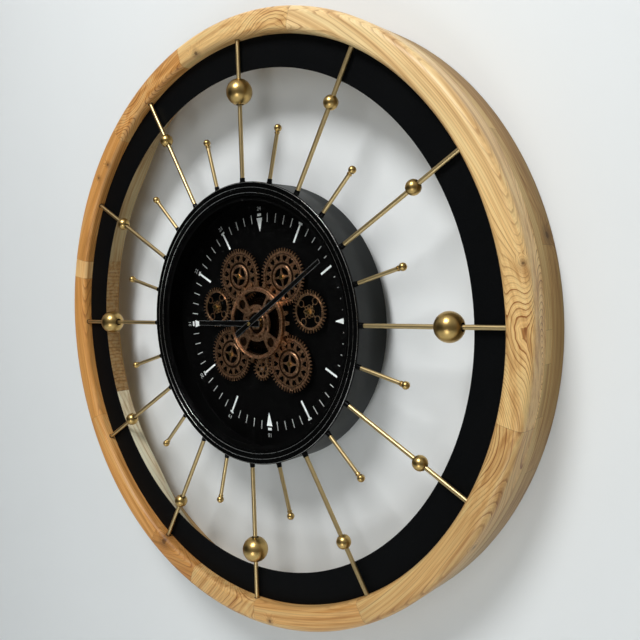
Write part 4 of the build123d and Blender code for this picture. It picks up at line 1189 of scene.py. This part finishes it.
class CLOCK_OT_central_wheel(ClockOperator):
    """Builds the sun gear, the toothed disc and the open front wheel"""

    bl_idname = "clock.central_wheel"
    bl_label = "Central wheel"

    BORE = 7.02
    DISC_THICKNESS = 2.0
    WHEEL_THICKNESS = 2.4

    def execute(self, context):
        size = millimetres(context.scene.clock_gears)
        train = GearTrain(size, context.scene.clock_gears.large_teeth)
        front = size.level + size.thickness
        sun = Shape()
        sun.cut([train.outline("sun"), circle(self.BORE, 40)], size.level, size.thickness, 0.22)
        band(sun, 26.2, 28.8, front - 0.2, front + 0.5, DIAL_AXIS)
        band(sun, 17.0, 19.0, front - 0.2, front + 0.5, DIAL_AXIS)
        self.central_piece("copper_sun_gear", sun, "shaded", "gear_copper", "sun_gear")
        disc_level = front + 2.5
        self.toothed_disc(disc_level)
        self.front_wheel(disc_level + self.DISC_THICKNESS + 1.0)
        return {"FINISHED"}

    def central_piece(self, name, shape, finish, slot, node):
        piece(name, shape, FINISHES[finish], "central_wheel", (node,), GEAR_CRISP)

    def toothed_disc(self, level):
        """Coarse teeth round four windows between four arms."""
        loops = [toothed(24, 43.0, 49.0, 5.4, 3.6, 0.0), circle(self.BORE, 40)]
        far, near, half_arm = 36.5, 19.5, 4.0
        half_outer, half_inner = degrees(half_arm / far), degrees(half_arm / near)
        outer = [clock_xy(far, -45 + half_outer + (90 - 2 * half_outer) * step / 16) for step in range(17)]
        inner = [clock_xy(near, 45 - half_inner - (90 - 2 * half_inner) * step / 10) for step in range(11)]
        loops += [turned(outer + inner, 90.0 * index) for index in range(4)]
        top = level + self.DISC_THICKNESS
        disc = Shape()
        disc.cut(loops, level, self.DISC_THICKNESS, 0.3)
        band(disc, 39.6, 41.2, top - 0.2, top + 0.4, DIAL_AXIS)
        self.central_piece("bronze_toothed_disc", disc, "disc", "gear_bronze", "central_toothed_disc")

    def front_wheel(self, level):
        """Open wheel with four windows, four round holes between them and a ring of small ones."""
        outer, eye = 42.0, 12.5
        near, far, half_window = 21.8, 37.6, 30.0
        hole, hole_circle, small_hole, small_circle = 5.7, 31.2, 1.75, 16.6
        loops = [circle(outer, 144), circle(eye, 64)]
        for index in range(4):
            middle = 90.0 * index
            loops.append(sector(near, far, middle - half_window, middle + half_window, 14))
            loops.append(circle(hole, 36, clock_xy(hole_circle, 45.0 + middle)))
        loops += [circle(small_hole, 18, clock_xy(small_circle, 45.0 * (index + 0.5))) for index in range(8)]
        wheel = Shape()
        wheel.cut(loops, level, self.WHEEL_THICKNESS, 0.3)
        top = level + self.WHEEL_THICKNESS
        band(wheel, 40.2, outer, top - 0.4, top + 0.8, DIAL_AXIS, 0.5, 144)
        band(wheel, 38.2, 38.9, top - 0.2, top + 0.3, DIAL_AXIS, 0.2, 144)
        band(wheel, 12.4, 14.4, top - 0.3, top + 0.75, DIAL_AXIS, 0.6)
        band(wheel, 19.0, 20.0, top - 0.2, top + 0.3, DIAL_AXIS, 0.2)
        self.central_piece("open_front_wheel", wheel, "wheel", "wheel_bronze", "central_front_wheel")


class CLOCK_OT_hands(ClockOperator):
    """Builds the two baton hands and the small centre nut"""

    bl_idname = "clock.hands"
    bl_label = "Hands"

    def execute(self, context):
        group = context.scene.clock_hands
        size = millimetres(group)
        # Widths at the tail and at the tip, then the radius of the hole
        minute_form, hour_form = (6.4, 5.0, 1.55), (7.2, 5.6, 2.6)
        self.hand("minute_baton", size.minute_length, size.minute_tail, minute_form, size.minute_level,
                  size.thickness, degrees(group.minute_angle), "minute_hand")
        self.hand("hour_baton", size.hour_length, size.hour_tail, hour_form, size.hour_level,
                  size.thickness, degrees(group.hour_angle), "hour_hand")
        top = size.minute_level + size.thickness
        nut = Shape()
        nut.cut([circle(2.6, 6)], top, 1.0, 0.2)
        nut.spin(((2.0, top + 0.9), (1.9, top + 1.4), (1.3, top + 1.75), (0, top + 1.8)), steps=32, closed=False)
        piece("brass_centre_nut", nut, FINISHES["brass"], "minute_hand", ("hand_nut",))
        return {"FINISHED"}

    def hand(self, name, reach, tail, form, level, thickness, angle, body):
        """Tapered black baton inside a thin grey line that paints the highlight along its edges."""
        root, tip, hole = form
        line = 0.36
        loop = [(-root / 2, -tail), (-tip / 2, reach), (tip / 2, reach), (root / 2, -tail)]
        inner = [(line - root / 2, line - tail), (line - tip / 2, reach - line),
                 (tip / 2 - line, reach - line), (root / 2 - line, line - tail)]
        blade = Shape()
        blade.cut([turned(loop, angle), circle(hole, 32)], level, thickness - 0.2, 0.1)
        piece(name, blade, FINISHES["hand"], body, (body,))
        # Painted highlight: a thin grey frame along the edges
        edge = Shape()
        edge.cut([turned(loop, angle), turned(inner, angle)], level + thickness - 0.4, 0.4, 0.12)
        piece(f"{name}_edge", edge, FINISHES["hand_edge"], body)


class CLOCK_OT_works(ClockOperator):
    """Finishes the solids of the movement, motor, brackets and hanger, and adds their small trim"""

    bl_idname = "clock.works"
    bl_label = "Works behind the dial"

    # Solids that stay: finish, width of their soft edges in millimetres, nodes
    KEPT = (
        ("steel", 0.25, ("hanger_plate", "dial_brackets", "cover_brackets", "pinion_shaft")),
        ("brass", 0.2, ("gear_posts", "gear_post_caps", "central_pillars", "central_hub", "movement_bushing")),
        ("brass", 0.2, ("dial_nut", "hour_pipe", "minute_arbor")),
        ("wheel", 0.2, ("hub_clip",)),
        ("drum", 0.3, ("back_cover",)),
        ("case", 0.6, ("movement_case", "gear_motor", "battery_tray")),
        ("knob", 0.3, ("setting_knob", "switch_slider")),
        ("cell", 0.5, ("clock_cell", "tray_cells")),
    )

    def execute(self, context):
        for finish, bevel, nodes in self.KEPT:
            for node in nodes:
                self.dress(bpy.data.objects[node], FINISHES[finish], bevel)
        self.cover_screws(context.scene.clock_drum.back / MM)
        return {"FINISHED"}

    def cover_screws(self, level):
        """Slotted screws that hold the back cover to its brackets."""
        screws = Shape()
        slot = [(-0.45, -1.9), (-0.45, 1.9), (0.45, 1.9), (0.45, -1.9)]
        for index in range(4):
            axis = wheel_axis(clock_xy(152.0, 90.0 * index))
            screws.cut([circle(3.0, 28), turned(slot, 35.0 + 50.0 * index)], level - 0.9, 0.7, 0.2, axis)
            low, high = level - 0.35, level + 0.05
            screws.spin(((0, low), (2.9, low), (2.9, high), (0, high)), axis, steps=28, closed=False)
        piece("cover_screws", screws, FINISHES["steel"], "clock_body")

    def dress(self, solid, finish, bevel):
        """Gives a solid its finish and soft edges."""
        for slot in solid.material_slots:
            slot.material = finish
        weld = solid.modifiers.new("weld", "WELD")
        weld.merge_threshold = SOLID_WELD
        edge = solid.modifiers.new("soft edges", "BEVEL")
        edge.width = bevel * MM
        edge.segments = 2
        edge.limit_method = "ANGLE"
        edge.angle_limit = radians(GEAR_CRISP)
        edge.harden_normals = False


class CLOCK_OT_stage(ClockOperator):
    """Sets the pale backdrop and floor, the soft lamps and the camera"""

    bl_idname = "clock.stage"
    bl_label = "Stage"

    def execute(self, context):
        colours = context.scene.clock_colours
        lights = context.scene.clock_lights
        self.backdrop(colours.backdrop)
        self.world(context, lights.sky)
        self.lamp("key lamp", (0.2, -1.5, 1.62), 0.8, lights.key)
        fill = self.lamp("fill lamp", (0.7, -2.4, 0.2), 1.3, lights.fill)
        fill.visible_glossy = False
        fill.visible_transmission = False
        self.lamp("low lamp", (0.5, -1.7, -1.0), 0.7, lights.low)
        self.camera(context)
        context.scene.view_settings.view_transform = "Standard"
        return {"FINISHED"}

    def sheet(self, name, corners, finish):
        mesh = bpy.data.meshes.new(name)
        mesh.from_pydata(corners, [], [(0, 1, 2, 3)])
        mesh.materials.append(finish)
        made = bpy.data.objects.new(name, mesh)
        bpy.context.scene.collection.objects.link(made)

    def backdrop(self, colour):
        """An upright sheet that is clear from behind and close to the clock's back, and a floor."""
        finish = Finish("pale backdrop", {"Specular IOR Level": 0.1})
        clouds = finish.noise(5.0, 4.0)
        shade = finish.blend(finish.remap(clouds, 0.3, 0.7), tuple(colour), tuple(c * 0.985 for c in colour))
        finish.paint(shade, 0.9)
        path = finish.add("LightPath")
        near = finish.math("LESS_THAN", path.outputs["Ray Length"], 0.05)
        near = finish.math("MULTIPLY", near, finish.math("SUBTRACT", 1.0, path.outputs["Is Camera Ray"]))
        behind = finish.add("NewGeometry").outputs["Backfacing"]
        made = finish.let_through(finish.math("MAXIMUM", behind, near))
        gap, wide, low, high, half = 0.0006, 5.0, -1.2, 4.0, 2.6
        self.sheet("backdrop", [(-wide, gap, low), (wide, gap, low), (wide, gap, high), (-wide, gap, high)], made)
        self.sheet("floor", [(-half, -half, low), (half, -half, low), (half, half, low), (-half, half, low)], made)

    def world(self, context, strength):
        """Even light, brightest overhead, with a dark card where the glass would mirror it."""
        tones = ((0.05, 0.24, 0.22, 0.19), (0.65, 0.95, 0.98, 1.0))
        card_side, card_edge, card_share = (-0.713, -0.70, -0.05), (0.82, 0.96), 0.01
        world = bpy.data.worlds.new("even light")
        context.scene.world = world
        world.use_nodes = True
        nodes = Nodes(world.node_tree)
        sky = nodes.tree.nodes["Background"]
        towards = nodes.add("TexCoord").outputs["Generated"]
        height = nodes.add("SeparateXYZ", {0: towards}).outputs["Z"]
        nodes.join(nodes.ramp(height, tones), sky.inputs["Color"])
        facing = nodes.vector("DOT_PRODUCT", towards, card_side)
        card = nodes.remap(facing, *card_edge, strength, strength * card_share, "SMOOTHSTEP")
        nodes.join(card, sky.inputs["Strength"])
        seen = nodes.add("Background", {"Color": (0.80, 0.83, 0.84), "Strength": 1.0})
        nodes.surface(nodes.add("LightPath").outputs["Is Camera Ray"], sky, seen, "World Output")

    def lamp(self, name, place, size, power):
        light = bpy.data.lights.new(name, "AREA")
        light.shape = "DISK"
        light.size = size
        light.energy = power
        made = bpy.data.objects.new(name, light)
        made.location = place
        made.rotation_euler = (-Vector(place)).to_track_quat("-Z", "Y").to_euler()
        bpy.context.scene.collection.objects.link(made)
        return made

    def camera(self, context):
        """Camera at the photograph's viewing angle, with its slight roll."""
        place = (0.6085, -0.6615, 0.0433)
        azimuth, elevation, roll = radians(39.74), radians(2.78), radians(-1.76)
        back = Vector((cos(elevation) * sin(azimuth), -cos(elevation) * cos(azimuth), sin(elevation)))
        right = Vector((cos(azimuth), sin(azimuth), 0.0))
        up = back.cross(right)
        right, up = right * cos(roll) + up * sin(roll), up * cos(roll) - right * sin(roll)
        data = bpy.data.cameras.new("camera")
        data.sensor_width = 36.0
        data.lens = 41.38
        made = bpy.data.objects.new("camera", data)
        turn = Matrix((right, up, back)).transposed().to_4x4()
        made.matrix_world = Matrix.Translation(place) @ turn
        context.scene.collection.objects.link(made)
        context.scene.camera = made


STEPS = (
    CLOCK_OT_finishes, CLOCK_OT_ring, CLOCK_OT_panel, CLOCK_OT_rods, CLOCK_OT_balls, CLOCK_OT_drum, CLOCK_OT_dial,
    CLOCK_OT_gears, CLOCK_OT_central_wheel, CLOCK_OT_hands, CLOCK_OT_works, CLOCK_OT_stage,
)
GROUPS = {
    "clock_ring": ClockRingSizes,
    "clock_rods": ClockRodSizes,
    "clock_drum": ClockDrumSizes,
    "clock_gears": ClockGearSizes,
    "clock_hands": ClockHandSizes,
    "clock_colours": ClockColours,
    "clock_lights": ClockLights,
}


class CLOCK_PT_panel(bpy.types.Panel):
    """Lists the steps that dress the clock"""

    bl_idname = "CLOCK_PT_panel"
    bl_label = "Gear clock"
    bl_space_type = "VIEW_3D"
    bl_region_type = "UI"
    bl_category = "Gear clock"

    def draw(self, context):
        for step in STEPS:
            self.layout.operator(step.bl_idname)


def register():
    for group in GROUPS.values():
        bpy.utils.register_class(group)
    for step in STEPS:
        bpy.utils.register_class(step)
    bpy.utils.register_class(CLOCK_PT_panel)
    for name, group in GROUPS.items():
        setattr(bpy.types.Scene, name, PointerProperty(type=group))


def unregister():
    for name in GROUPS:
        delattr(bpy.types.Scene, name)
    bpy.utils.unregister_class(CLOCK_PT_panel)
    for step in reversed(STEPS):
        bpy.utils.unregister_class(step)
    for group in reversed(GROUPS.values()):
        bpy.utils.unregister_class(group)


def main():
    register()
    bpy.ops.clock.finishes()
    bpy.ops.clock.ring()
    bpy.ops.clock.panel()
    bpy.ops.clock.rods()
    bpy.ops.clock.balls()
    bpy.ops.clock.drum()
    bpy.ops.clock.dial()
    bpy.ops.clock.gears()
    bpy.ops.clock.central_wheel()
    bpy.ops.clock.hands()
    bpy.ops.clock.works()
    bpy.ops.clock.stage()


if __name__ == "__main__":
    main()
